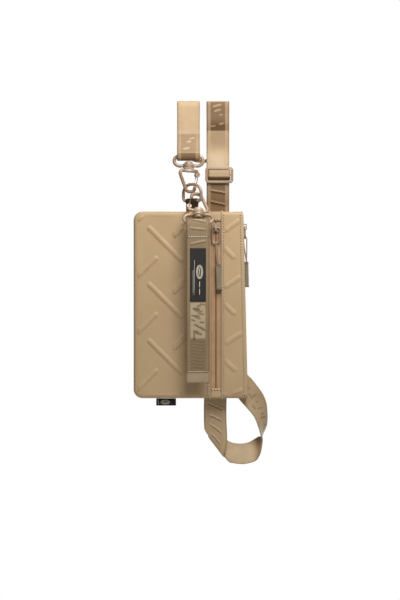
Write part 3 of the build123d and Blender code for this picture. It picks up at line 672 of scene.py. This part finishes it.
def sleeve(name, at, right, up, out, loop_h, cord_l, drift, lean, twist):
    """The woven grip: a flattened tube with bound ends and a stitched middle."""
    half_w, half_t, long = 3.2, 1.9, 28.0
    top = -loop_h - cord_l
    wide = right * math.cos(twist) + out * math.sin(twist)
    deep = out * math.cos(twist) - right * math.sin(twist)
    levels = np.concatenate([BOUND_END, np.linspace(3.4, long - 3.4, 22), long - BOUND_END[::-1]])
    rings, tones = [], []
    angles = np.linspace(0, 2 * np.pi, SLEEVE_SIDES, endpoint=False)
    c, s = np.cos(angles), np.sin(angles)
    for level in levels:
        from_end = min(level, long - level)
        size = 0.86 if from_end < 0.1 else (1.0 if from_end < 2.3 else 0.93)
        w = half_w * size * np.sign(c) * np.abs(c) ** 0.45
        t = half_t * size * np.sign(s) * np.abs(s) ** 0.8
        t = t * (1 - 0.12 * np.exp(-(w / 0.5) ** 2))
        centre = at + right * (drift + lean * level) + up * (top - level) + out * SLEEVE_OUT
        rings.append(centre + np.outer(w, wide) + np.outer(t, deep))
        tones.append((0.35 if from_end < 2.3 else 0.0) + 0.2 * (np.abs(w) < 0.5))
    uv = np.stack([np.tile(angles / (2 * np.pi) * 16 + 4, len(levels)), np.repeat(levels, SLEEVE_SIDES)], -1)
    return make(name, rings, tube_faces(len(levels), SLEEVE_SIDES), SLEEVE, uv, tones)


EDGE_DOWN = unit(np.array([EDGE_LEAN, 0, BOTTOM - TOP]))
EDGE_OUT = np.array([-EDGE_DOWN[2], 0, EDGE_DOWN[0]])


def right_edge(z):
    """The pouch's right edge leans outward towards the bottom."""
    return RIGHT + (TOP - z) / (TOP - BOTTOM) * EDGE_LEAN


MID_Y = -9.0  # halfway through the pouch


def on_side(z, depth):
    """A point in the middle of the right edge's wall, a depth below its surface."""
    return np.array([right_edge(z), MID_Y, z]) - EDGE_OUT * depth


PULLS = {
    "front": dict(at=np.array([14.75, -14.4, -135.0]), right=np.array([1.0, 0, 0]), up=np.array([0, 0, 1.0]),
                  out=np.array([0, -1.0, 0]), loop_h=17.0, cord_l=23.5, drift=2.4),
    "side": dict(at=on_side(-134.0, 1.6), right=np.array([0, 1.0, 0]), up=-EDGE_DOWN, out=EDGE_OUT,
                 loop_h=12.5, cord_l=26.0, drift=0.0),
}
SLEEVE_HANG = {"front": (0.045, 0.0), "side": (0.0, 0.26)}  # sideways drift and twist of each sleeve
CORD_R = 0.7
for side, facts in PULLS.items():
    route = pull_route(**facts)
    line = spline(route, 24)
    cord = make(f"{side}_cord", *tube_mesh(line, CORD_R, 10), CORD)
    belong(cord, f"{side}_pull", "pull_cord", f"{side}_pull_cord")
    lean, twist = SLEEVE_HANG[side]
    grip = sleeve(f"{side}_sleeve", **facts, lean=lean, twist=twist)
    belong(grip, f"{side}_pull", "sleeve", f"{side}_pull_sleeve")

# ---------- pouch shell

ZIP_LEFT, ZIP_RIGHT, ZIP_X = 9.0, 20.5, 14.75  # the slot's edges and its middle
SEAM_LEFT, SEAM_RIGHT, SEAM_EDGE = 6.0, 23.2, 41.6  # seams beside the slot, and the strip's outer one
LEATHER_T, LINING_T = 1.2, 0.4
# Profiles of the panels' edges: (distance in from the outline, depth)
WALL = [(0.0, -3.4), (0.06, -6.0), (0.12, -9.0), (0.2, -11.6), (0.45, -13.4), (1.1, -14.7), (2.2, -15.5),
        (3.6, -15.88), (5.0, FRONT_Y)]
ZIP_EDGE = [(1.6, -14.62), (0.3, -14.62), (0.02, -14.9), (0.0, -15.3), (0.25, -15.75), (0.8, -15.97),
            (1.5, FRONT_Y)]
SIDE_EDGE = [(2.6, -14.35), (0.8, -14.3), (0.15, -14.5), (0.0, -14.9), (0.25, -15.4), (0.9, -15.8),
             (1.9, -15.97), (3.0, FRONT_Y)]
BACK_WALL = [(0.0, -3.45), (0.05, -2.9), (0.4, -2.4), (1.1, -2.1), (2.2, -2.0)]
BACK_SIDE = [(2.6, -3.7), (0.8, -3.75), (0.1, -3.5), (0.0, -3.1), (0.3, -2.5), (1.1, -2.1), (2.2, -2.0)]


def grid_lines(low, high, low_edge, high_edge, step):
    """Positions of a panel's grid lines, and the depth of each one that lies on an edge's profile."""
    first, last = low + low_edge[-1][0] + step, high - high_edge[-1][0] - step
    inner = np.linspace(first, last, int(round((last - first) / step)) + 1)
    at = [low + i for i, _ in low_edge] + list(inner) + [high - i for i, _ in reversed(high_edge)]
    depth = [y for _, y in low_edge] + [None] * len(inner) + [y for _, y in reversed(high_edge)]
    return np.array(at), depth


def rounded(values_x, values_z, corner_x, corner_z, radius, sign_x, sign_z):
    """Bends the grid's corner square into a quarter circle."""
    p = (values_x - corner_x) * sign_x / radius
    q = (values_z - corner_z) * sign_z / radius
    pull = np.where((p > 0) & (q > 0), np.maximum(p, q) / np.maximum(np.hypot(p, q), 1e-9), 1.0)
    return corner_x + p * pull * radius * sign_x, corner_z + q * pull * radius * sign_z


def panel(name, x_range, edges, face, front=True, step=0.9, pivot=None, corners=()):
    """A leather panel with moulded edges, given as left, right, bottom, top.

    Right of pivot it widens downwards, so that its right edge leans.
    """
    xs, x_depth = grid_lines(*x_range, edges[0], edges[1], step)
    zs, z_depth = grid_lines(BOTTOM, TOP, edges[2], edges[3], step)
    X, Z = np.meshgrid(xs, zs)
    flat = edges[0][-1][1]
    back = 1.0 if front else -1.0
    Y = np.full_like(X, flat)
    for j, dz in enumerate(z_depth):
        for i, dx in enumerate(x_depth):
            known = [d for d in (dx, dz) if d is not None]
            if known:
                Y[j, i] = max(known) if front else min(known)
    inner = np.array([[dx is None and dz is None for dx in x_depth] for dz in z_depth])
    Y = Y - back * face(X, Z) * inner
    for x, z, radius, sx, sz in corners:
        X, Z = rounded(X, Z, x, z, radius, sx, sz)
    if pivot is not None:
        X = X + np.where(X > pivot, (X - pivot) * (1 / (RIGHT - pivot)) * (right_edge(Z) - RIGHT), 0.0)
    faces = grid_faces(len(zs), len(xs))
    obj = make(name, np.stack([X, Y, Z], -1), faces if front else faces[:, ::-1], TAN)
    thicken(obj, LEATHER_T)
    return obj


RIDGE_PITCH = 62.0
RIDGE_H = 1.1
STRIP_SHARE = 0.75  # the narrow strip is moulded less deeply


def embossed(x, z, bars):
    """Height of the moulded bars, repeated down the panel: flat tops, soft shoulders."""
    height = 0.0 * x
    for row in range(-1, 4):
        top = TOP - RIDGE_PITCH * row
        for (ax, az), (bx, bz) in bars:
            away = bar_distance(x, z, (ax, top + az), (bx, top + bz))
            height = np.maximum(height, smoothstep((3.3 - away) / 2.4))
    return RIDGE_H * height * between(z, BOTTOM + 5.0, TOP - 5.0, 3.0)


FRONT_BARS = [
    ((-58.3, -18.6), (-23.4, -53.6)),
    ((-51.5, -51.8), (-71.5, -71.8)),
    ((-23.0, -18.6), (-30.4, -26.4)),
    ((-22.0, -76.0), (-30.4, -86.0)),
]
STRIP_BARS = [((39.0, -11.0), (26.2, -20.5)), ((25.0, -41.5), (33.0, -50.0))]


def soft_dents(x, z):
    """The slack leather's shallow waves."""
    return 0.22 * np.sin(x / 23.0 + 0.6) * np.sin(z / 31.0) + 0.1 * np.sin(x / 9.0 + z / 14.0)


def seam_groove(x, seam, width):
    return 0.35 * np.exp(-(((x - seam) / width) ** 2))


def front_face(x, z):
    dents = soft_dents(x, z) * between(x, LEFT + 8, ZIP_LEFT - 6, 6.0)
    return embossed(x, z, FRONT_BARS) + dents - seam_groove(x, SEAM_LEFT, 0.9)


def strip_face(x, z):
    seams = seam_groove(x, SEAM_RIGHT, 0.8) + seam_groove(x, SEAM_EDGE, 0.9)
    return STRIP_SHARE * embossed(x, z, STRIP_BARS) * between(x, 24.5, 40.5, 1.5) - seams


def back_face(x, z):
    return 0.25 * np.sin(x / 27.0) * np.sin(z / 36.0) + 0.25 * np.exp(-((x + 13.0) / 45.0) ** 2)


def side_corners(x, sign, radius):
    """The two corners of one side: centre, radius and direction of each."""
    return [(x - sign * radius, z - way * radius, radius, sign, way) for z, way in ((TOP, 1), (BOTTOM, -1))]


left_corners, right_corners = side_corners(LEFT, -1, 10), side_corners(RIGHT, 1, 4.5)
front = panel("pouch_front", (LEFT, ZIP_LEFT), (WALL, ZIP_EDGE, WALL, WALL), front_face, corners=left_corners)
belong(front, "pouch", "leather", "front_panel", "gusset")
strip = panel("pouch_strip", (ZIP_RIGHT, RIGHT), (ZIP_EDGE, SIDE_EDGE, WALL, WALL), strip_face, step=0.8,
              pivot=ZIP_RIGHT, corners=right_corners)
belong(strip, "pouch", "leather", "front_strip")
back = panel("pouch_back", (LEFT, RIGHT), (BACK_WALL, BACK_SIDE, BACK_WALL, BACK_WALL), back_face,
             front=False, step=1.6, pivot=20.0, corners=left_corners + right_corners)
belong(back, "pouch", "leather", "back_panel")


def lining(name, x_range, z_range, y, ripple, node):
    """A sheet of lining cloth that ripples most in its middle."""
    rows, columns = 90, 60
    xs, zs = np.linspace(*x_range, columns), np.linspace(*z_range, rows)
    X, Z = np.meshgrid(xs, zs)
    fade_x = np.cos((X - xs.mean()) / (xs[-1] - xs[0]) * math.pi)
    fade_z = np.cos((Z - zs.mean()) / (zs[-1] - zs[0]) * math.pi)
    Y = y + ripple * (fade_x * fade_z) * np.sin(X / 17.0 + Z / 40.0)
    obj = make(name, np.stack([X, Y, Z], -1), grid_faces(rows, columns), LINING,
               np.stack([X - xs[0], Z - zs[0]], -1))
    thicken(obj, LINING_T)
    return belong(obj, "pouch", "lining", node)


lining("back_lining_cloth", (-69.5, 38.5), (-316, -124), -3.9, 0.1, "back_lining")
lining("divider_cloth", (-69.5, 38.5), (-316, -124), -9.6, 0.6, "pocket_divider")
lining("card_pocket_cloth", (-66, 30), (-312, -205), -4.7, 0.15, "card_pocket")

# Thread along the zipper and down the strip's outer edge, which leans with the pouch's
SEAM_Y, SEAM_TOP, SEAM_LOW = FRONT_Y + 0.14, TOP - 4.5, BOTTOM + 4.0
for name, top_x, low_x in (("seam_zip_right", SEAM_RIGHT, SEAM_RIGHT), ("seam_strip_edge", SEAM_EDGE, 46.1),
                           ("seam_zip_left", SEAM_LEFT, SEAM_LEFT)):
    stitches(name, [(top_x, SEAM_Y, SEAM_TOP), (low_x, SEAM_Y, SEAM_LOW)], FORWARD, THREAD)

# ---------- zippers


def tape_shade_tone(seen_from, seen_to, sign):
    """Painted shade where the tape goes under the leather and along the gap between the two tapes."""
    def tone(U, V):
        edge = np.minimum(U - seen_from, seen_to - U)
        return 0.7 * smoothstep((0.9 - edge) / 0.8) + 0.15 * (np.abs(U * sign - 2.2) < 0.4) + 0.0 * V
    return tone


def tape_relief(U, V):
    return 0.12 * np.abs(np.sin(np.pi * V / 1.3))


def zip_tape(name, start, end, across, width, node, tone):
    tape = ribbon(name, np.array([start, end], float), across, width, 0.5, TAPE, tone,
                  relief=tape_relief, columns=18, step=0.65, scallop=0.0)
    belong(tape, "pouch", "zip_tape", node)


COIL_PITCH = 1.25


def zip_coil(name, start, end, across, out, node):
    start, end = np.array(start, float), np.array(end, float)
    turns = int(np.linalg.norm(end - start) / COIL_PITCH)
    angle = np.linspace(0, 2 * np.pi * turns, turns * 9)
    along = np.outer(np.linspace(0, 1, len(angle)), end - start)
    loop = np.outer(np.cos(angle) * 0.42, across) + np.outer(np.sin(angle) * 0.33, out)
    belong(make(name, *tube_mesh(start + along + loop, 0.2, 5), COIL), "pouch", "zip_coil", node)


FRONT_TAPE_Y, FRONT_COIL_Y = -14.15, -13.3
ZIP_TOP, ZIP_END = TOP - 11.0, BOTTOM + 11.5
COIL_APART = 0.9  # from the zipper's middle line to each coil
for side, sign, mid in (("left", -1, 10.25), ("right", 1, 19.25)):
    seen = (ZIP_LEFT - mid, 4.25) if sign < 0 else (-4.25, ZIP_RIGHT - mid)
    zip_tape(f"front_tape_{side}", (mid, FRONT_TAPE_Y, ZIP_END), (mid, FRONT_TAPE_Y, ZIP_TOP), X_RIGHT, 8.5,
             f"front_zip_tape_{side}", tape_shade_tone(*seen, -sign))
    x = ZIP_X + sign * COIL_APART
    zip_coil(f"front_coil_{side}", (x, FRONT_COIL_Y, ZIP_END), (x, FRONT_COIL_Y, ZIP_TOP), X_RIGHT, BACKWARD,
             f"front_zip_coil_{side}")

SIDE_TOP, SIDE_END = TOP - 7.5, BOTTOM + 8.0
SIDE_TAPE_DEEP, SIDE_COIL_DEEP = 1.85, 2.75
for side, sign in (("front", -1), ("back", 1)):
    shift = np.array([0, sign * 2.8, 0])
    zip_tape(f"side_tape_{side}", on_side(SIDE_END, SIDE_TAPE_DEEP) + shift,
             on_side(SIDE_TOP, SIDE_TAPE_DEEP) + shift, BACKWARD, 5.1,
             f"side_zip_tape_{side}", tape_shade_tone(-2.5, 2.5, sign))
    shift = np.array([0, sign * COIL_APART, 0])
    zip_coil(f"side_coil_{side}", on_side(SIDE_END, SIDE_COIL_DEEP) + shift,
             on_side(SIDE_TOP, SIDE_COIL_DEEP) + shift, BACKWARD, EDGE_OUT, f"side_zip_coil_{side}")


def patch(name, x_range, z_range, y, thick, material, bow=0.15, columns=18):
    """A small patch with rounded edges, facing the front; bow is how far its middle stands out."""
    rows = 18
    X, Z = np.meshgrid(np.linspace(-1, 1, columns), np.linspace(-1, 1, rows))
    rim = 1 - np.maximum(np.abs(X), np.abs(Z)) ** 8
    half = thick / 2 * (0.35 + 0.65 * rim)
    mid_x, half_x = sum(x_range) / 2, (x_range[1] - x_range[0]) / 2
    mid_z, half_z = sum(z_range) / 2, (z_range[1] - z_range[0]) / 2
    parts = []
    for sign in (1, -1):
        Y = y - sign * (half + bow * rim * (sign > 0))
        parts.append(np.stack([mid_x + half_x * X, Y, mid_z + half_z * Z], -1))
    faces = grid_faces(rows, columns)
    count = rows * columns
    index = np.arange(count).reshape(rows, columns)
    loop = [*index[0], *index[1:, -1], *index[-1, -2::-1], *index[-2:0:-1, 0]]
    sides = [[a, a + count, b + count, b] for a, b in zip(loop, loop[1:] + loop[:1])]
    faces = [*faces.tolist(), *(faces[:, ::-1] + count).tolist(), *sides]
    return make(name, parts, faces, material)


PATCH_T = 1.0
for end, z_range in (("top", (ZIP_TOP, TOP - 1.2)), ("end", (BOTTOM + 1.2, ZIP_END))):
    cover = patch(f"zip_{end}_patch", (ZIP_LEFT + 0.1, ZIP_RIGHT - 0.1), z_range, -15.1, PATCH_T, TAN)
    belong(cover, "pouch", "leather", f"front_zip_{end}_patch")
for name, level in (("seam_top_patch", ZIP_TOP + 1.9), ("seam_end_patch", ZIP_END - 2.0)):
    stitches(name, [(9.8, -15.7, level), (19.8, -15.7, level)], FORWARD, THREAD, pitch=3.3)


def turned(piece, at, right, out):
    """Turns a piece made facing the front at the origin so that it faces along out."""
    right, out = np.asarray(right, float), np.asarray(out, float)
    up = np.cross(right, -out)
    axes = np.stack([right, -out, up], 1).tolist()
    piece.data.transform(Matrix([[*row, c * MM] for row, c in zip(axes, at)] + [[0, 0, 0, 1]]))
    return piece


def wall_patch(name, wide, tall, bow, at, right, out):
    """Closes a gap in the pouch's wall at one end of a zipper."""
    piece = patch(name, (-wide / 2, wide / 2), (-tall / 2, tall / 2), 0.0, PATCH_T, TAN, bow)
    belong(turned(piece, at, right, out), "pouch", "leather")


for name, level, out in (("wall_above_zip", TOP - 0.75, (0, 0, 1)),
                         ("wall_below_zip", BOTTOM + 0.75, (0, 0, -1))):
    wall_patch(name, ZIP_RIGHT - ZIP_LEFT + 3.0, 12.6, 0.0, (ZIP_X, MID_Y, level), X_RIGHT, out)
for name, high, low in (("side_top_patch", TOP - 0.8, SIDE_TOP - 1.2),
                        ("side_end_patch", SIDE_END + 1.2, BOTTOM + 0.8)):
    wall_patch(name, 11.0, high - low, 0.2, on_side((high + low) / 2, 1.25), BACKWARD, EDGE_OUT)

# ---------- key strap and its label

KEY_X, KEY_Y, KEY_R, KEY_W = -5.0, -32.89, 3.9, 25.6
KEY_TOP_Z, KEY_END = -130.57 + 3.9, -305.0
KEY_ROUTE = [  # (y, z) up the back layer, over the eye and down the front layer
    (KEY_Y + 0.8, KEY_END + 1.5), (KEY_Y + 0.8, -262), (KEY_Y + KEY_R, -226), (KEY_Y + KEY_R, -160),
    (KEY_Y + KEY_R, KEY_TOP_Z + 0.4), (KEY_Y - KEY_R, KEY_TOP_Z + 0.4), (KEY_Y - KEY_R, -160),
    (KEY_Y - KEY_R, -226), (KEY_Y - 0.9, -262), (KEY_Y - 0.9, KEY_END + 0.6), (KEY_Y - 0.1, KEY_END),
]
# Its bands on the front layer, from level to level, and its slanting bars: (level, slope)
HERRINGBONE, PALE_END = (-291.6, -257.5), (KEY_END - 3, -292.5)
PALE_BAND, PALE_STROKES = (-256.4, -217.0), (-255.0, -218.0)
KEY_BARS = [(-121.5, -0.15), (-127.0, 0.2), (-136.5, 0.1), (-151.4, -0.22)]
key_line = spline([(KEY_X, y, z) for y, z in KEY_ROUTE])
key_total = length_of(key_line)


def key_ripple(U, V):
    """The coarse herringbone rows of the dark band."""
    return np.sin(V * 1.75 + 1.3 * np.sin(U / 1.9)) * (0.6 + 0.4 * np.sin(U * 2.4 + V))


def key_level(V):
    """Height on the front layer at a distance along the key strap."""
    return KEY_END + (key_total - V)


def key_tone(U, V):
    z = key_level(V)
    middle = np.abs(U) < MIDDLE_HALF
    herringbone = between(z, *HERRINGBONE, 1.5)
    tone = 0.04 + 0.18 * herringbone * middle - 0.55 * between(z, *PALE_END, 1.5)
    tone = tone - 0.85 * between(z, *PALE_BAND, 1.5) * middle
    tone = tone + 1.1 * middle * strokes(U, z, *PALE_STROKES, "key", 15)
    tone = tone + 0.2 * herringbone * middle * key_ripple(U, V)
    # Each slanting bar gets a painted shadow just below it and a painted highlight on its raised top
    for at, slope in KEY_BARS:
        offset = z - at - slope * U
        lines = 0.5 * between(offset, -2.0, -0.8, 0.5) - 0.7 * between(offset, -0.5, 0.9, 0.5)
        tone = tone + middle * lines
    return tone * (V > key_total / 2)


def key_relief(U, V):
    z = key_level(V)
    middle = np.abs(U) < MIDDLE_HALF
    height = 0.22 * between(z, *HERRINGBONE, 1.5) * middle * key_ripple(U, V)
    for at, slope in KEY_BARS:
        height = height + 0.45 * middle * between(z - at - slope * U, -0.6, 0.9, 0.8)
    return height * (V > key_total / 2)


def key_back_tone(U, V):
    return 0.1 + 0 * U


key_strap = ribbon("key_strap_web", key_line, X_LEFT, KEY_W, WEBBING_T, KEY_WEBBING, key_tone, key_back_tone,
                   key_relief, step=0.9)
belong(key_strap, "key_strap_body", "webbing", "key_strap")
for name, y, level, thread, pitch, length in (
    ("key_seam_top", KEY_Y - KEY_R - 0.75, -145.7, WHITE_THREAD, 2.7, 1.9),
    ("key_seam_end", KEY_Y - 1.75, -293.0, THREAD, 2.4, 1.7),
):
    stitches(name, [(KEY_X + 10.6, y, level), (KEY_X - 10.8, y, level)], FORWARD, thread, pitch, length,
             body="key_strap_body", slot="webbing")

LABEL_Y = KEY_Y - KEY_R - WEBBING_T / 2 - 0.3
LABEL_W, LABEL_LONG, LABEL_TOP = 17.4, 58.2, -158.0


def label_relief(U, V):
    """A folded hem at each end."""
    return 0.12 * np.exp(-((np.minimum(V, LABEL_LONG - V) - 1.2) / 0.4) ** 2)


label_line = np.array([(KEY_X, LABEL_Y, LABEL_TOP - LABEL_LONG), (KEY_X, LABEL_Y, LABEL_TOP)])
label = ribbon("key_label_satin", label_line, X_RIGHT, LABEL_W, 0.45, LABEL, relief=label_relief, columns=24,
               step=0.8, scallop=0.0)
belong(label, "key_strap_body", "label", "key_label")
MARK_Y = LABEL_Y - 0.36


def woven_mark(name, y, paths, radius, body):
    """Raised white threads on a label, each along its own path (x, z)."""
    threads = [tube_mesh(np.insert(path, 1, y, axis=1), radius, 6) for path in paths]
    belong(make(name, *joined(threads), WHITE_THREAD), body, "label")


def oval(x, z, half_w, half_h):
    angle = np.linspace(0, 2 * np.pi, 48)
    return np.stack([x + half_w * np.cos(angle), z + half_h * np.sin(angle)], -1)


def stroke(x0, z0, x1, z1):
    return np.array([(x0 + (x1 - x0) * s, z0 + (z1 - z0) * s) for s in np.linspace(0, 1, 6)])


MARK_X, MARK_Z = KEY_X + 1.8, -184.0
woven_mark("key_label_mark", MARK_Y, [
    oval(MARK_X, MARK_Z, 3.3, 7.3), oval(MARK_X, MARK_Z, 2.1, 5.8),
    stroke(MARK_X, MARK_Z + 3.6, MARK_X, MARK_Z - 3.6),
    stroke(MARK_X, -194.5, MARK_X, -201.0), stroke(MARK_X, -202.5, MARK_X, -209.0),
], 0.4, "key_strap_body")
woven_mark("key_label_lines", MARK_Y + 0.1, [
    stroke(KEY_X - 3.9, -171.0, KEY_X - 3.9, -209.0),
    stroke(KEY_X - 5.3, -182.0, KEY_X - 5.3, -209.0),
], 0.2, "key_strap_body")

# ---------- small soft parts on the pouch

side_tag = patch("side_tag", (-51.0, -29.2), (BOTTOM - 8.0, BOTTOM - 0.05), MID_Y, 1.1, LABEL, 0.05, 30)
belong(side_tag, "pouch", "label", "side_label")
TAG_X, TAG_Z = -41.0, BOTTOM - 4.1
woven_mark("side_tag_mark", -9.68, [
    oval(TAG_X, TAG_Z, 4.9, 2.3), oval(TAG_X, TAG_Z, 3.8, 1.4),
    stroke(-43.4, TAG_Z, -38.6, TAG_Z), stroke(-48.6, BOTTOM - 6.3, -48.6, BOTTOM - 2.0),
], 0.22, "pouch")


FLARE_OUTLINE = [(29, -302), (45, -293), (53.5, -300.5), (49, -318), (36, -318), (29, -312)]
FLARE_RINGS = [(0.0, -0.45), (0.9, -0.45), (0.99, -0.2), (1.0, 0.15), (0.985, 0.5), (0.93, 0.72), (0.6, 0.78),
               (0.0, 0.8)]  # (share of the outline's size, depth)


def flare():
    """The leather patch behind the pouch that the strap's end is sewn under."""
    corners = np.array(FLARE_OUTLINE)
    centre = corners.mean(axis=0)
    run = np.concatenate([np.linspace(a, b, 9)[:-1] for a, b in zip(corners, np.roll(corners, -1, axis=0))])
    for _ in range(3):
        run = (np.roll(run, 1, axis=0) + 2 * run + np.roll(run, -1, axis=0)) / 4
    rings = []
    for size, y in FLARE_RINGS:
        flat = centre + (run - centre) * max(size, 0.001)
        rings.append(np.stack([flat[:, 0], np.full(len(run), y), flat[:, 1]], -1))
    faces = grid_faces(len(rings), len(run), ring=True)[:, ::-1]
    return make("strap_end_patch", rings, faces, TAN)


belong(flare(), "pouch", "leather", "strap_anchor")
FLARE_SEAM = [(31.5, -302.5), (46.5, -302.5), (47.5, -315.5), (37.0, -315.5), (31.5, -310.5), (31.5, -302.5)]
stitches("seam_strap_end", [(x, 0.75, z) for x, z in FLARE_SEAM], BACKWARD, THREAD)

RING_TURN = math.radians(36.0)
RING_AT = np.array([-11.3, -10.0, -105.5])
ring_side = np.array([math.cos(RING_TURN), -math.sin(RING_TURN), 0])
ring_out = np.array([-math.sin(RING_TURN), -math.cos(RING_TURN), 0])


def tab():
    """The leather loop that holds the ring: over its bar and down into the pouch's top edge."""
    radius, half_w = 3.0, 7.6
    loop = [(radius * math.cos(a), radius * math.sin(a)) for a in np.radians(np.linspace(-48, 228, 30))]
    profile = np.array([(1.15, -12.6), (1.1, -6.0), (1.2, -3.6), *loop,
                        (-1.2, -3.6), (-1.1, -6.0), (-1.15, -12.6)])
    rings = []
    for s in np.linspace(-1, 1, 15):
        edge = 1 - 0.12 * abs(s) ** 10
        rolled = np.where(np.hypot(profile[:, 0], profile[:, 1]) < 4.0, edge, 1.0)[:, None] * profile
        base = RING_AT + ring_side * s * half_w
        rings.append(base + rolled[:, :1] * ring_out + rolled[:, 1:] * np.array([0, 0, 1.0]))
    return make("leather_tab", rings, grid_faces(len(rings), len(profile), ring=True), BROWN)


belong(tab(), "pouch", "dark_leather", "ring_tab")

GLIDE_X, GLIDE_Z = 18.5, -76.7
HUMP = [(-6.2, 5.4), (-7.6, 4.6), (-9.3, 2.2), (-9.3, -1.8), (-7.4, -4.6), (-6.2, -5.4)]  # (y, height)


def hump_tone_and_shade(U, V):
    # Painted shade where the webbing curls round under the glide's bar at its far end, and a milder darkening
    # over its front
    return 0.95 * smoothstep((V - 7.2) / 2.5) + 0.3 * between(V, 2.0, 6.2, 2.0)


hump_line = spline([(GLIDE_X, y, GLIDE_Z + height) for y, height in HUMP])
hump = ribbon("glide_web", hump_line, X_LEFT, 24.0, 1.2, STRAP, hump_tone_and_shade, step=0.5)
belong(hump, "glide", "webbing", "glide_hump")

# ---------- metal parts keep their CAD shape

METAL = {
    COATED: ["tri_glide", "d_ring", "front_slider", "side_slider", "front_puller", "side_puller",
             "upper_hook", "lower_hook", "upper_eye", "lower_eye", "upper_swivel_pin", "lower_swivel_pin"],
    BARE: ["upper_gate", "lower_gate"],
}
for material, names in METAL.items():
    for name in names:
        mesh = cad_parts[name].data
        mesh.materials.clear()
        mesh.materials.append(material)
